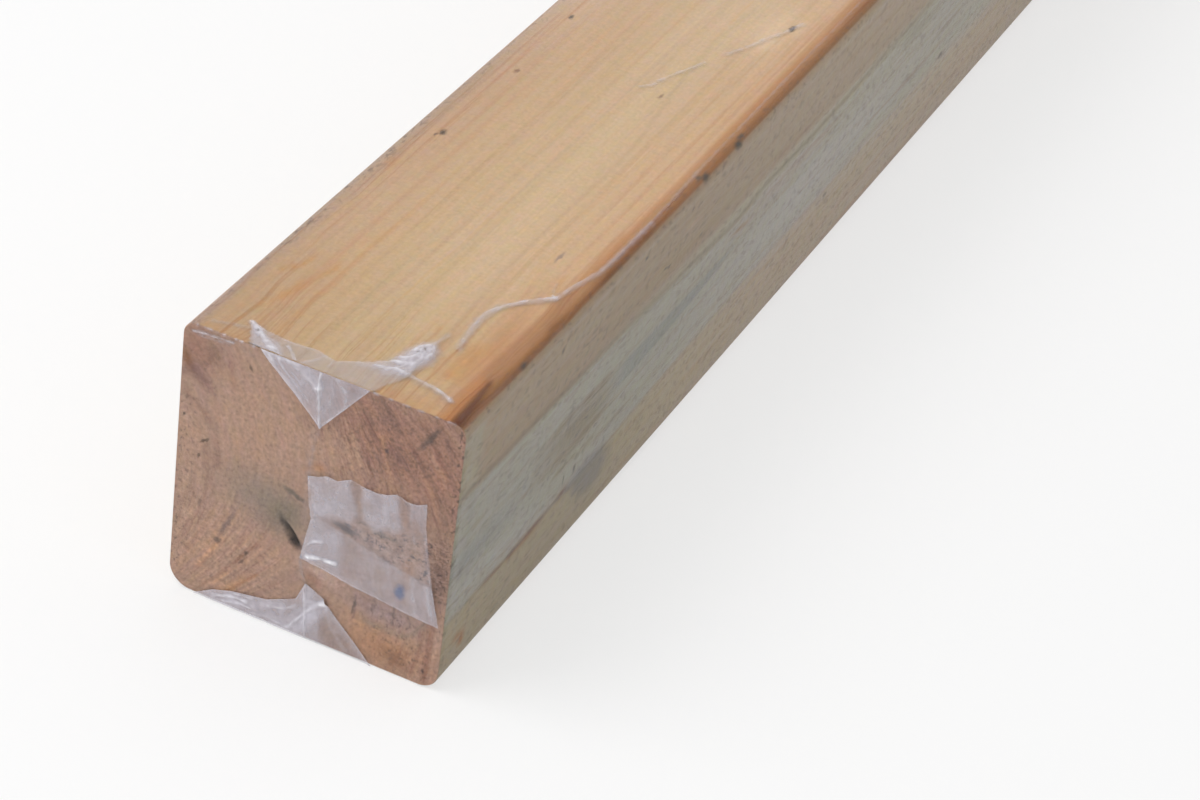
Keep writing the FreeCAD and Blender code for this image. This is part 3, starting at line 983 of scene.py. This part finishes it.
def buildSkin():
    soften = film["rimSoften"] * mm
    fine = np.arange(0, film["shownLength"], film["rowPitch"]) * mm + filmLow.y + soften
    coarse = np.linspace(fine[-1], filmHigh.y - soften, film["coarseRows"])[1:]

    def loose(x, y, z):
        # The film stands off the timber a little where it hangs along the lower right arris
        belly = np.exp(-(((y - nearEnd) / mm - 172) / 26) ** 2) * ((x > 0.04) & (z < 0.03))
        return (0.05 + 0.1 * (1 + swell(x * 30, y * 22, 21)) + 1.4 * belly) * mm

    radii = [(r + film["skinThickness"]) * mm for r in timber["radii"]]
    points, faces, outwards, isEnd = closedLength(
        filmHigh.x - filmLow.x, filmHigh.z - filmLow.z, radii, filmLow.z,
        np.concatenate([fine, coarse]), film["cells"], soften, loose)
    x, y, z = points[:, 0] / mm, (points[:, 1] - nearEnd) / mm, points[:, 2] / mm
    points[:, 2] = np.maximum(points[:, 2], filmLow.z)
    seam = np.exp(-((x + 1.4) / 0.9) ** 2) * (isEnd > 0.5) * ease(24, 30, z) * (1 - ease(94, 98, z))
    haze = film["skinHaze"] + 0.05 * seam
    piece = putMesh("filmSkin", points, faces, dict(haze=haze, creaseAndGlint=0 * x, dirt=0 * x), 60)
    dressFilm(piece, film["wall"])
    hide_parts("film_wrap")
    print("film skin made:", len(piece.data.polygons), "faces")
    return piece


filmSkin = buildSkin()


def onEnd(x, z, lift):  # a place on the near end, lift millimetres off the film
    return np.stack([x * mm, filmLow.y + (film["tuckThickness"] - lift) * mm, z * mm], -1)


def bothEnds(name, points, haze, creaseAndGlint):
    # One sheet on the near end, and the same one mirrored to the far end
    sheetPiece(name, points, haze, creaseAndGlint)
    sheetPiece(name + "Far", points * (1, -1, 1), haze, creaseAndGlint, flip=True)


# Every fold is painted from two lists. An area adds milkiness inside an outline, and a fold adds a
# low ridge and whiteness along a route: (outline, softness, milkiness), (route, width, rise, whiteness).
# The whiteness is partly the film's own whitening at the fold and partly painted highlight on it

def readFilm(spec, a, b):
    haze, creasesAndGlints, rise = spec["haze"] + 0 * a, 0 * a, 0 * a
    raggedA, raggedB = (way + 0.35 * swell(a * 0.8, b * 0.8, seed) for way, seed in ((a, 280), (b, 281)))
    for outline, soft, milkiness in spec["areas"]:
        haze = haze + milkiness * patch(raggedA, raggedB, outline, soft)
    for index, (route, width, lift, whiteness) in enumerate(spec["folds"]):
        ragged = toRoute(a, b, route) / (width * (1 + 0.35 * swell(a * 0.5, b * 0.5, 300 + index)))
        here = np.exp(-ragged ** 2)
        rise = rise + lift * here
        creasesAndGlints = creasesAndGlints + whiteness * here * (0.85 + 0.45 * swell(a * 0.9, b * 0.9, 400 + index))
    return np.clip(haze, 0, 0.9), np.clip(creasesAndGlints, 0, 1), rise


def filmGrid(spec):  # a grid of places over a sheet's reach, at its pitch
    low, high = spec["across"]
    start, end = spec["along"]
    u, v = bothWays(int((end - start) / spec["pitch"][1]), int((high - low) / spec["pitch"][0]))
    return low + u * (high - low), start + v * (end - start)


upperTuck = dict(
    left=-25.5, right=19.0, tip=(1.0, 97.0), edge=120.5, rows=60, cols=120, lift=0.4, haze=0.25,
    areas=(
        (((1, 112), (3, 120), (15, 120), (9, 107), (2, 100)), 2.5, -0.05),
        (((-25, 121), (-12, 121), (-4, 108), (-8, 104), (-18, 113)), 2.5, 0.06),
        (((-10, 121), (-2, 121), (0, 112), (-3, 108), (-8, 113)), 2.0, 0.07),
    ),
    folds=(
        (((0.9, 97), (-0.1, 106), (-0.9, 113), (-0.6, 120.5)), 0.50, 0.5, 0.34),
        (((0.9, 97), (-0.1, 106), (-0.9, 113), (-0.6, 120.5)), 1.7, 0.3, 0.09),
        (((5.6, 120.5), (9.9, 116), (10.3, 110), (7.4, 104), (4.2, 100.5)), 1.0, 0.4, 0.17),
        (((2.6, 120.5), (5.0, 115), (3.4, 108), (1.6, 102)), 0.8, 0.2, 0.08),
        (((-14, 120.4), (-7, 117), (-1.2, 113.4)), 1.1, 0.3, 0.13),
        # painted glint along the end's top edge
        (((-25, 120.4), (-18, 119.8), (-10, 120.2)), 0.7, 0.2, 0.26),
        (((-22.5, 118.6), (-13, 110.2), (-4, 101.8)), 0.8, 0.2, 0.08),
        (((-18.5, 119), (-11, 112), (-4.5, 106)), 0.6, 0.2, 0.11),
        (((-13.5, 117.5), (-7.5, 111.5), (-2.5, 108.5)), 0.5, 0.2, 0.09),
        (((-21.6, 119.4), (-19.4, 116.8)), 0.6, 0.2, 0.28),
        (((-17.6, 119.0), (-15.6, 116.6)), 0.5, 0.2, 0.20),
        # painted glint where the folds meet
        (((-2.2, 113.2), (-0.4, 113.8)), 0.8, 0.2, 0.5),
        (((-25.5, 120.6), (1, 97)), 0.4, 0.0, 0.12),
        (((19, 120.6), (1, 97)), 0.4, 0.0, 0.16),
    ),
)


def buildUpperTuck():
    # u runs along the end's top edge, and v straight from the tip up to that edge
    u, v = bothWays(upperTuck["rows"], upperTuck["cols"])
    tipX, tipZ = upperTuck["tip"]
    x = tipX + (upperTuck["left"] + u * (upperTuck["right"] - upperTuck["left"]) - tipX) * v
    z = tipZ + (upperTuck["edge"] - tipZ) * v
    haze, creasesAndGlints, rise = readFilm(upperTuck, x, z)
    lift = upperTuck["lift"] + rise + 0.2 * (1 + swell(x * 0.3, z * 0.3, 17))
    lift = lift * (1 - 0.6 * ease(0.93, 1, v))
    bothEnds("filmUpperTuck", onEnd(x, z, lift), haze, creasesAndGlints)


lowerLeft = ((-46, 0.6), (-38, 5.5), (-30, 8.3), (-15, 11.2), (-3, 17), (0.5, 26))
lowerRight = ((8, 22.5), (13, 17), (22, 8.5), (30, 0.6))
lowerTuck = dict(
    rows=60, cols=140, lift=0.45, haze=0.25,
    areas=(
        (((-44, 0), (-36, 7), (-28, 9), (-16, 11), (-8, 13), (-6, 4), (-10, -1)), 2.0, 0.12),
        (((-8, 2), (-1, 17), (0.5, 27), (8, 21), (3, 10), (-2, -1)), 2.0, 0.12),
        (((8, 20), (14, 14), (28, 0), (12, -1), (6, 8)), 3.0, -0.13),
        (((-2, 3), (1, 12), (4, 18), (9.5, 21.5), (11, 18), (7, 12), (3, 4)), 1.6, 0.17),
        (((-37, 2), (-30, 6), (-20, 7.4), (-18, 4), (-28, 2)), 1.5, 0.09),
    ),
    folds=(
        (((0.2, 26), (1.4, 14), (2.0, 0.5)), 0.5, 0.5, 0.26),
        # painted highlight along this fold
        (((-8.5, 0.5), (-5, 3), (-1, 9), (4, 16), (9.5, 21)), 0.9, 0.5, 0.26),
        (((9.5, 20.5), (12, 12), (20, 1)), 1.0, 0.3, 0.09),
        (((5.5, 15), (7, 8), (6.5, 1)), 0.8, 0.3, 0.10),
        (((-1, 17.5), (4, 18.8), (9.5, 19.5)), 0.5, 0.2, 0.12),
        (((-37, 3.6), (-30, 5.9), (-23.5, 6.4)), 0.7, 0.3, 0.38),
        (((-33.5, 2.4), (-27, 4.1), (-21, 4.2)), 0.5, 0.2, 0.30),
        (((-29.5, 7.6), (-21, 8.9)), 0.45, 0.1, 0.22),
        (((-22, 2.2), (-14, 3.4), (-9, 2.6)), 0.6, 0.2, 0.18),
        (((-14, 9), (-7, 10.5), (-3, 14)), 0.7, 0.2, 0.16),
        # painted glint at the top of that fold
        (((7.8, 19.4), (10.2, 21)), 0.9, 0.2, 0.55),
        (lowerLeft, 0.4, 0.0, 0.18),
        (lowerRight, 0.4, 0.0, 0.08),
    ),
)


def buildLowerTuck():
    # A ruled surface: u runs along the bottom edge, v from it up to the flap's free edge
    u, v = bothWays(lowerTuck["rows"], lowerTuck["cols"])
    free = lowerLeft + lowerRight
    x = free[0][0] + u * (free[-1][0] - free[0][0])
    z = 0.5 + v * (height(x, free) - 0.5)
    haze, creasesAndGlints, rise = readFilm(lowerTuck, x, z)
    lift = lowerTuck["lift"] + rise * ease(0, 6, z)
    lift = lift + 0.3 * (1 + swell(x * 0.3, z * 0.35, 31)) * np.sin(np.pi * v)
    bothEnds("filmLowerTuck", onEnd(x, z, lift), haze, creasesAndGlints)


lapFold = ((-1.5, 58.5), (12, 55.8), (26, 52.2), (40, 48.8), (52, 46.6))
lapLeft = ((-2.6, 36.8), (-1.2, 47), (0.4, 56), (-1.5, 66), (-2.4, 74.2))
lapRight = ((55.6, 30.0), (51.8, 45), (48.6, 60), (46.6, 72), (45.8, 82.4))
lapCrest = (
    (-2.4, 74.2), (1.5, 75.4), (5.5, 77.6), (10, 77.2), (15, 80),
    (20, 78.8), (26, 78.6), (30, 79.8), (34, 81.7), (38, 80.2), (42, 80.4), (45.8, 82.4),
)
lapFlap = dict(
    rows=90, cols=130, lift=0.35, haze=0.08,
    areas=(
        (
            (
                (-3, 74), (1.5, 76), (5.5, 78), (10, 78), (14.6, 81), (15.6, 74), (18.6, 67),
                (16, 60), (11, 61.5), (6, 58.5), (0, 60), (0, 66),
            ), 1.9, 0.21,
        ),
        (
            (
                (20.2, 80), (26, 79.5), (30, 81), (34, 83), (34.6, 76), (37.2, 68), (34, 63.5),
                (30, 65), (26, 61.5), (22, 65), (20.2, 70),
            ), 1.8, 0.20,
        ),
        (((37.6, 82), (42, 82), (46.5, 84), (46.8, 76), (45, 70), (41, 74)), 2.4, 0.12),
        (((-1, 64), (0, 57.5), (8, 56.5), (12, 60), (10, 64)), 2.5, 0.09),
        (
            (
                (-1.6, 58.2), (12, 55.5), (26, 52), (40, 48.6), (52, 46.4), (57, 29), (42, 29),
                (26, 30), (8, 33), (-4, 35),
            ), 0.9, 0.12,
        ),
        (((-1, 56), (11, 54.5), (14, 48), (13, 37), (-3, 37)), 2.5, 0.10),
        (((17, 52), (24, 50), (24, 36), (16, 37)), 3.0, -0.05),
        (((35.6, 43), (41, 43), (41.6, 34), (36, 34)), 1.5, -0.06),
    ),
    folds=(
        (lapFold, 0.45, 0.4, 0.12),
        # painted highlight along this fold
        (((0.8, 38.6), (6.0, 40.0), (11.4, 40.2)), 0.85, 0.4, 0.80),
        (((1.2, 38.2), (6.5, 39.6), (12.0, 39.8)), 1.8, 0.2, 0.12),
        (((0.2, 43.8), (2.2, 46.4), (5.6, 47.6)), 0.6, 0.3, 0.34),
        (((1.6, 55), (2.4, 60), (0.6, 66)), 0.6, 0.2, 0.10),
        (((43.2, 47), (44.4, 40), (45.6, 33)), 1.0, 0.3, 0.13),
        (((49.4, 46), (51, 38), (53.4, 31)), 0.8, 0.3, 0.15),
        (((40, 80), (40.6, 72), (42.4, 64)), 0.7, 0.2, 0.10),
        (((45.4, 80), (46.6, 70), (47.6, 60), (50.4, 48)), 0.5, 0.2, 0.10),
        (((29, 79), (30.4, 70), (29.6, 63)), 1.2, 0.2, 0.06),
        (((6, 76.5), (7.4, 70), (6.4, 63)), 1.4, 0.2, 0.06),
        (((-2.6, 36.8), (8, 35.1), (26, 32.4), (42, 31.0), (55.6, 30.0)), 0.5, 0.0, 0.13),
        (lapRight[:2], 0.45, 0.0, 0.10),
        (lapLeft, 0.45, 0.0, 0.09),
        (lapCrest[:5], 0.5, 0.1, 0.20),
        (lapCrest[5:], 0.5, 0.1, 0.16),
    ),
)


def buildLapFlap():
    # Two side rails, a scalloped upper rail and a bowed lower one, filled in by a Coons patch
    u, v = bothWays(lapFlap["rows"], lapFlap["cols"])
    leftX, leftZ = onRoute(lapLeft, v)
    rightX, rightZ = onRoute(lapRight, v)
    x = leftX + u * (rightX - leftX)
    topX, straightTop = (a + u * (b - a) for a, b in zip(lapLeft[-1], lapRight[-1]))
    scallops = v ** 6 * (height(topX, lapCrest) - straightTop)
    z = leftZ + u * (rightZ - leftZ) + scallops - 0.9 * np.sin(np.pi * u) * (1 - v)
    haze, creasesAndGlints, rise = readFilm(lapFlap, x, z)
    lift = lapFlap["lift"] + rise + 0.25 * (1 + swell(x * 0.25, z * 0.25, 33))
    return sheetPiece("filmLapFlap", onEnd(x, z, lift), haze, creasesAndGlints)


sideLap = dict(rows=60, cols=320, length=640.0, lift=0.15, haze=0.035)


def buildSideLap():
    # u runs along the post, v between the lap's lower and upper edges
    u, v = bothWays(sideLap["rows"], sideLap["cols"])
    y = u * sideLap["length"]
    low = height(y, lapLines["lower"])
    high = height(y, lapLines["upper"]) + 0.25 * swell(y * 0.09, 0 * y, 5)
    z = low + v * (high - low)
    lift = sideLap["lift"] + 0.12 * (1 + swell(y * 0.05, z * 0.3, 11)) + 0.25 * ease(0.95, 1, v)
    place = np.stack([filmHigh.x + (0.15 + lift) * mm, nearEnd + y * mm, z * mm], -1)
    haze = sideLap["haze"] * (0.9 + 0.3 * swell(y * 0.03, z * 0.12, 14)) * (1 - 0.25 * ease(420, 640, y))
    # A thin painted highlight along the lap's upper edge
    creasesAndGlints = 0.03 * np.exp(-((v - 1) / 0.012) ** 2)
    return sheetPiece("filmSideLap", place, haze, creasesAndGlints, flip=True)


# The loose film on the top face: the gathered end, its knot, and the pleats that run from it
topFolds = dict(
    across=(-52.0, 55.5), along=(0.0, 436.0), pitch=(0.5, 0.6), lift=0.35, haze=0.0,
    knot=(22.8, 30.8), knotHalf=(5.4, 10.0), knotTurn=-20, knotRise=0.9,
    dots=((22.9, 32.9), (21.8, 29.6), (-31.8, 8.6)),
    areas=(
        (
            (
                (-36.3, 12.3), (-29, 9.9), (-18, 8.9), (-8, 10.1), (-4, 8.8), (-6, 4), (-10.5, -2),
                (-30, -2), (-33, 6),
            ), 0.5, 0.11,
        ),
        (((-36.3, 12.3), (-30, 9.9), (-22, 6), (-14, -2), (-29, -2), (-32, 5)), 1.4, 0.15),
        (
            (
                (-4, 8.8), (0, 8.0), (8.2, 13.2), (14.5, 17.6), (17, 25), (24, 24), (25.7, 17.5),
                (24.5, 11.2), (22, 6.2), (19.5, -2), (-11, -2),
            ), 0.8, 0.13,
        ),
        (
            (
                (8, 12), (14.5, 17.6), (17, 25), (18.9, 31.2), (23.2, 38.6), (27.6, 34),
                (27.6, 26.2), (25.7, 17.5), (20, 11),
            ), 2.8, 0.14,
        ),
        (
            (
                (17.6, 25), (18.9, 31.5), (21.4, 36.4), (23.6, 37.6), (26.2, 35), (27.0, 30),
                (26.2, 23), (21, 19.4),
            ), 3.4, 0.22,
        ),
        (
            (
                (31.0, 40), (28.2, 62), (30.6, 74), (38, 84), (45, 91), (47.8, 100), (51.4, 116),
                (52.4, 160), (54.4, 160), (53.6, 116), (49.6, 100), (46.8, 88), (40, 81),
                (33.4, 73), (31.6, 62), (32.6, 40),
            ), 1.0, 0.08,
        ),
    ),
    folds=(
        # this fold's whiteness is partly painted glint
        (((-36.2, 12), (-31, 9), (-27, 5), (-20.6, 0.2)), 0.9, 0.3, 0.40),
        (((-33, 8), (-26, 6.2), (-22, 3)), 0.7, 0.2, 0.16),
        (((-18, 6.2), (-15.4, 4), (-11.8, 0.2)), 0.5, 0.2, 0.34),
        (((-24, 1.8), (-21, 2.2), (-18.6, 0.6)), 0.5, 0.2, 0.40),
        (((-0.4, 7.9), (-0.2, 4), (0.7, 0.2)), 0.4, 0.2, 0.15),
        (((-36.2, 12), (-29, 9.9), (-18, 8.9), (-8, 10.1), (-4, 8.8)), 0.45, 0.1, 0.17),
        (((-4, 8.8), (0, 8), (8.2, 13.2), (14.5, 17.6)), 0.5, 0.1, 0.06),
        (((-48, 4.4), (-42, 6.4), (-36, 8.2)), 1.0, 0.1, 0.09),
        (((12.8, 14.2), (17, 15.4), (22, 16.3)), 0.9, 0.3, 0.24),
        (
            (
                (20, 16.6), (24.5, 15.9), (29.5, 15.1), (35.8, 14.5), (42, 12.6), (45.4, 10.6),
            ), 0.8, 0.4, 0.24,
        ),
        (((22, 15.4), (29.5, 14.4), (37, 13.2), (43, 10.8)), 1.7, 0.1, 0.08),
        (((38, 13.8), (41, 12.8), (44.6, 10.8)), 0.45, 0.2, 0.30),
        # painted glint on the knot
        (((16.8, 20.2), (18.6, 20.6), (20.8, 21.8)), 0.8, 0.4, 0.50),
        (((17.8, 24), (20, 24.6), (22, 27)), 0.5, 0.3, 0.30),
        (((19.8, 30), (20.6, 33.5), (23.2, 36.4)), 0.6, 0.3, 0.35),
        (((24.8, 36.6), (26.4, 33), (25.8, 28.6)), 0.6, 0.3, 0.32),
        (((21.6, 33), (22.6, 29), (21.4, 25)), 0.6, 0.4, 0.24),
        (((23.8, 31), (24.6, 26.6), (23.2, 22)), 0.5, 0.3, 0.26),
        (((12.5, 16.8), (16.6, 19.4), (20, 23.5)), 0.5, 0.2, 0.16),
        (((17.5, 14.4), (20.5, 18), (22.6, 23)), 0.5, 0.2, 0.18),
        (((22.6, 12), (23.4, 17), (23.8, 22)), 0.5, 0.2, 0.15),
        (((25.4, 15.4), (25.0, 19), (24.8, 23)), 0.4, 0.2, 0.13),
        (((23.9, 38.4), (24.5, 42), (25.2, 46.4)), 1.0, 0.2, 0.13),
        (((27.4, 31), (29, 29.4), (29.6, 26), (28.4, 24.4)), 0.6, 0.2, 0.13),
        (((34.0, 37.5), (33.2, 41.5), (31.4, 46.2)), 0.8, 0.2, 0.07),
        (
            (
                (31.4, 46.2), (30.0, 54), (29.7, 62.5), (31.0, 70), (34.2, 76.2), (38.0, 81.9),
                (42, 85.8), (46.4, 89.6),
            ), 0.75, 0.3, 0.10,
        ),
        (((31.2, 69), (34.4, 76), (38.2, 81.4)), 0.6, 0.2, 0.15),
        (((41.6, 86.4), (43.4, 87.2), (44.2, 88.8), (45.6, 89.0), (46.6, 91.2)), 0.7, 0.5, 0.30),
        (((44.6, 91.4), (45.8, 89.6), (47.4, 90.0)), 0.4, 0.3, 0.26),
        (((36.6, 80.8), (37.6, 81.0), (38.6, 83.0)), 0.5, 0.3, 0.20),
        (((30.4, 58), (29.4, 66), (31.4, 72), (34.6, 77.2)), 0.35, 0.3, 0.16),
        (((47.6, 97), (48.4, 102), (50.6, 110)), 0.35, 0.3, 0.14),
        (
            (
                (46.4, 89.6), (47.4, 95), (48.2, 101), (50.2, 110), (52, 116), (53, 126),
                (53.3, 150), (52.9, 178), (52.1, 206),
            ), 0.8, 0.3, 0.11,
        ),
        (((42.4, 100), (43.4, 95), (45.2, 91)), 0.5, 0.2, 0.10),
        (((52.1, 206), (51.9, 240), (51.7, 290), (51.5, 350), (51.5, 432)), 0.55, 0.2, 0.09),
        (((5.2, 250), (8.5, 254), (10, 261), (12.2, 267), (13, 270)), 0.9, 0.3, 0.15),
        (((13.6, 271), (16, 277), (18.4, 284.5)), 0.9, 0.3, 0.15),
        (
            (
                (23.2, 297), (26, 303), (29, 310.5), (31.2, 319), (34.5, 326), (37, 333),
                (39, 341),
            ), 1.0, 0.4, 0.18,
        ),
    ),
)


def buildTopFolds():
    # A height field over the top face. The knot is a lumpy dome, and past the flat of the top the
    # sheet follows the right arris down
    x, y = filmGrid(topFolds)
    haze, creasesAndGlints, rise = readFilm(topFolds, x, y)
    dome = spot(x, y, topFolds["knot"], topFolds["knotHalf"], topFolds["knotTurn"])
    lumps = 0.75 + 0.35 * swell(x * 0.9, y * 0.9, 91)
    # Whiteness over the knot's lumps: partly its gathered film and partly painted highlight
    creasesAndGlints = creasesAndGlints + 0.20 * ease(0.1, 0.5, dome) * np.clip(swell(x * 1.5, y * 1.3, 92), 0, 1)
    rise = topFolds["lift"] + rise + topFolds["knotRise"] * dome ** 0.7 * lumps
    radius = timber["radii"][1] + film["skinThickness"]
    beyond = np.clip(x - (filmHigh.x / mm - radius), 0, radius * 0.98)
    drop = radius - np.sqrt(radius ** 2 - beyond ** 2)
    along = filmLow.y + (film["tuckThickness"] + y) * mm
    place = np.stack([x * mm, along, filmHigh.z + (rise - drop) * mm], -1)
    dirt = 0 * x
    for dotX, dotY in topFolds["dots"]:
        slant = x - dotX + 0.5 * (y - dotY)
        dirt = dirt + np.exp(-(slant / 0.42) ** 2 - ((y - dotY) / 0.8) ** 2)
    return sheetPiece(
        "filmTopFolds", place, haze, creasesAndGlints, film["looseWall"], trim=film["unseen"], dirt=0.9 * dirt)


# Faint lines on the near end: the seam between the flaps and a pleat under the top edge
endFolds = dict(
    across=(-56.0, 5.0), along=(25.0, 119.2), pitch=(0.45, 0.45), lift=0.2, haze=0.0, areas=(),
    folds=(
        (((-53, 116.9), (-49, 117.6), (-43, 118.0), (-36.5, 118.3)), 0.5, 0.25, 0.38),
        (((-51, 115.8), (-44, 116.6), (-38, 117.2)), 0.45, 0.1, 0.14),
        (((0.6, 97), (-0.8, 90), (-1.6, 82), (-2.2, 74.5)), 0.5, 0.2, 0.06),
        (((-2.6, 37), (-2.2, 32), (0.3, 26)), 0.6, 0.2, 0.09),
    ),
)


def buildEndFolds():
    # A height field over the upper left of the near end, cut away where it would be clear
    x, z = filmGrid(endFolds)
    haze, creasesAndGlints, rise = readFilm(endFolds, x, z)
    place = onEnd(x, z, endFolds["lift"] + rise)
    return sheetPiece("filmEndFolds", place, haze, creasesAndGlints, film["looseWall"], trim=film["unseen"])


edgeGlints = dict(reaches=((-54.0, -26.0), (19.8, 55.0)), level=120.35, width=1.0, haze=0.34)


def buildEdgeGlints(name, start, end):
    # The glint along the sawn top edge: a narrow quarter-round strip, its whiteness coming and going
    u, v = bothWays(5, int((end - start) * 5))
    x = start + u * (end - start)
    turn = (v - 0.5) * math.pi * 0.5 + math.pi / 4
    radius = edgeGlints["width"]
    y = filmLow.y + (radius * (1 - np.sin(turn)) - 0.15) * mm
    z = edgeGlints["level"] + radius * (np.cos(turn) - 0.75)
    place = np.stack([x * mm, y + 0 * x, z * mm + 0 * x], -1)
    broken = ease(-0.3, 1.1, swell(x * 1.1, 0 * x, 41) + 0.35 * swell(x * 3.1, 0 * x, 42))
    creasesAndGlints = edgeGlints["haze"] * broken * (1 - np.abs(2 * v - 1)) * (1 - 0.45 * ease(15, 25, x))
    return sheetPiece(name, place, 0 * x, creasesAndGlints, film["glintWall"])


buildUpperTuck()
buildLowerTuck()
buildLapFlap()
buildSideLap()
buildTopFolds()
buildEndFolds()
for side, reach in zip(("Left", "Right"), edgeGlints["reaches"]):
    buildEdgeGlints("filmEdgeGlints" + side, *reach)


# Studio: pale floor, even light, and a camera where the photograph was taken

studio = dict(
    worldLight=0.72,
    keyEnergy=26.0, keySize=1.6, keyPlace=(-1.3, -1.9, 2.1), keyAim=(0.0, -0.95, 0.06),
    floorColour=(0.93, 0.93, 0.93), floorLift=0.62, floorSize=14.0,
    focalPixels=3472.6, frameWidth=1200.0, sensorWidth=36.0,
    cameraPlace=(0.4519, -2.0951, 0.8246),
    cameraRight=(0.89241, 0.43535, 0.11863),
    cameraDown=(0.34031, -0.47672, -0.81051),
    cameraAhead=(-0.2963, 0.76368, -0.57359),
)


def seenDirectly(tree):
    # 1 for what the camera sees, straight or mirrored, and 0 for the light that falls on things
    path = tree.nodes.new("ShaderNodeLightPath")
    mirrored = sums(tree, "MAXIMUM", path.outputs["Is Glossy Ray"], path.outputs["Is Transmission Ray"])
    return sums(tree, "MAXIMUM", path.outputs["Is Camera Ray"], mirrored)


def poseMatrix(right, up, back, place):
    return Matrix(np.vstack([np.column_stack([right, up, back, place]), [0, 0, 0, 1]]).tolist())


def buildStudio():
    scene = bpy.context.scene
    scene.view_settings.view_transform = "Standard"
    world = bpy.data.worlds.new("studio")
    scene.world = world
    world.use_nodes = True
    tree = world.node_tree
    tree.nodes.clear()
    level = studio["worldLight"]
    strength = sums(tree, "MULTIPLY_ADD", seenDirectly(tree), 1 - level, level)
    glow = add(tree, "ShaderNodeBackground", Color=(1, 1, 1, 1), Strength=strength)
    show(tree, glow, "ShaderNodeOutputWorld")

    lamp = bpy.data.lights.new("key", "AREA")
    lamp.energy, lamp.size = studio["keyEnergy"], studio["keySize"]
    key = bpy.data.objects.new("key", lamp)
    scene.collection.objects.link(key)
    place, aim = np.array(studio["keyPlace"]), np.array(studio["keyAim"])
    back = (place - aim) / np.linalg.norm(place - aim)
    side = np.cross((0, 0, 1), back)
    side = side / np.linalg.norm(side)
    key.matrix_world = poseMatrix(side, np.cross(back, side), back, place)

    half = studio["floorSize"] / 2
    corners = np.array([[-half, -half, 0], [half, -half, 0], [half, half, 0], [-half, half, 0]], float)
    floor = putMesh("floor", corners, np.array([[0, 1, 2, 3]]))
    material, tree = newMaterial("paleFloor")
    matt = add(tree, "ShaderNodeBsdfDiffuse", Color=(*studio["floorColour"], 1))
    white = add(tree, "ShaderNodeEmission", Color=(1, 1, 1, 1), Strength=1.0)
    lifted = sums(tree, "MULTIPLY", seenDirectly(tree), studio["floorLift"])
    show(tree, add(tree, "ShaderNodeMixShader", i0=lifted, i1=matt.outputs[0], i2=white.outputs[0]))
    floor.data.materials.append(material)

    lens = bpy.data.cameras.new("camera")
    lens.sensor_fit = "HORIZONTAL"
    lens.sensor_width = studio["sensorWidth"]
    lens.lens = studio["focalPixels"] / studio["frameWidth"] * studio["sensorWidth"]
    lens.clip_end = 100
    camera = bpy.data.objects.new("camera", lens)
    scene.collection.objects.link(camera)
    right, down, ahead = (np.array(studio[k]) for k in ("cameraRight", "cameraDown", "cameraAhead"))
    camera.matrix_world = poseMatrix(right, -down, -ahead, np.array(studio["cameraPlace"]))
    scene.camera = camera
    print("studio made")


buildStudio()
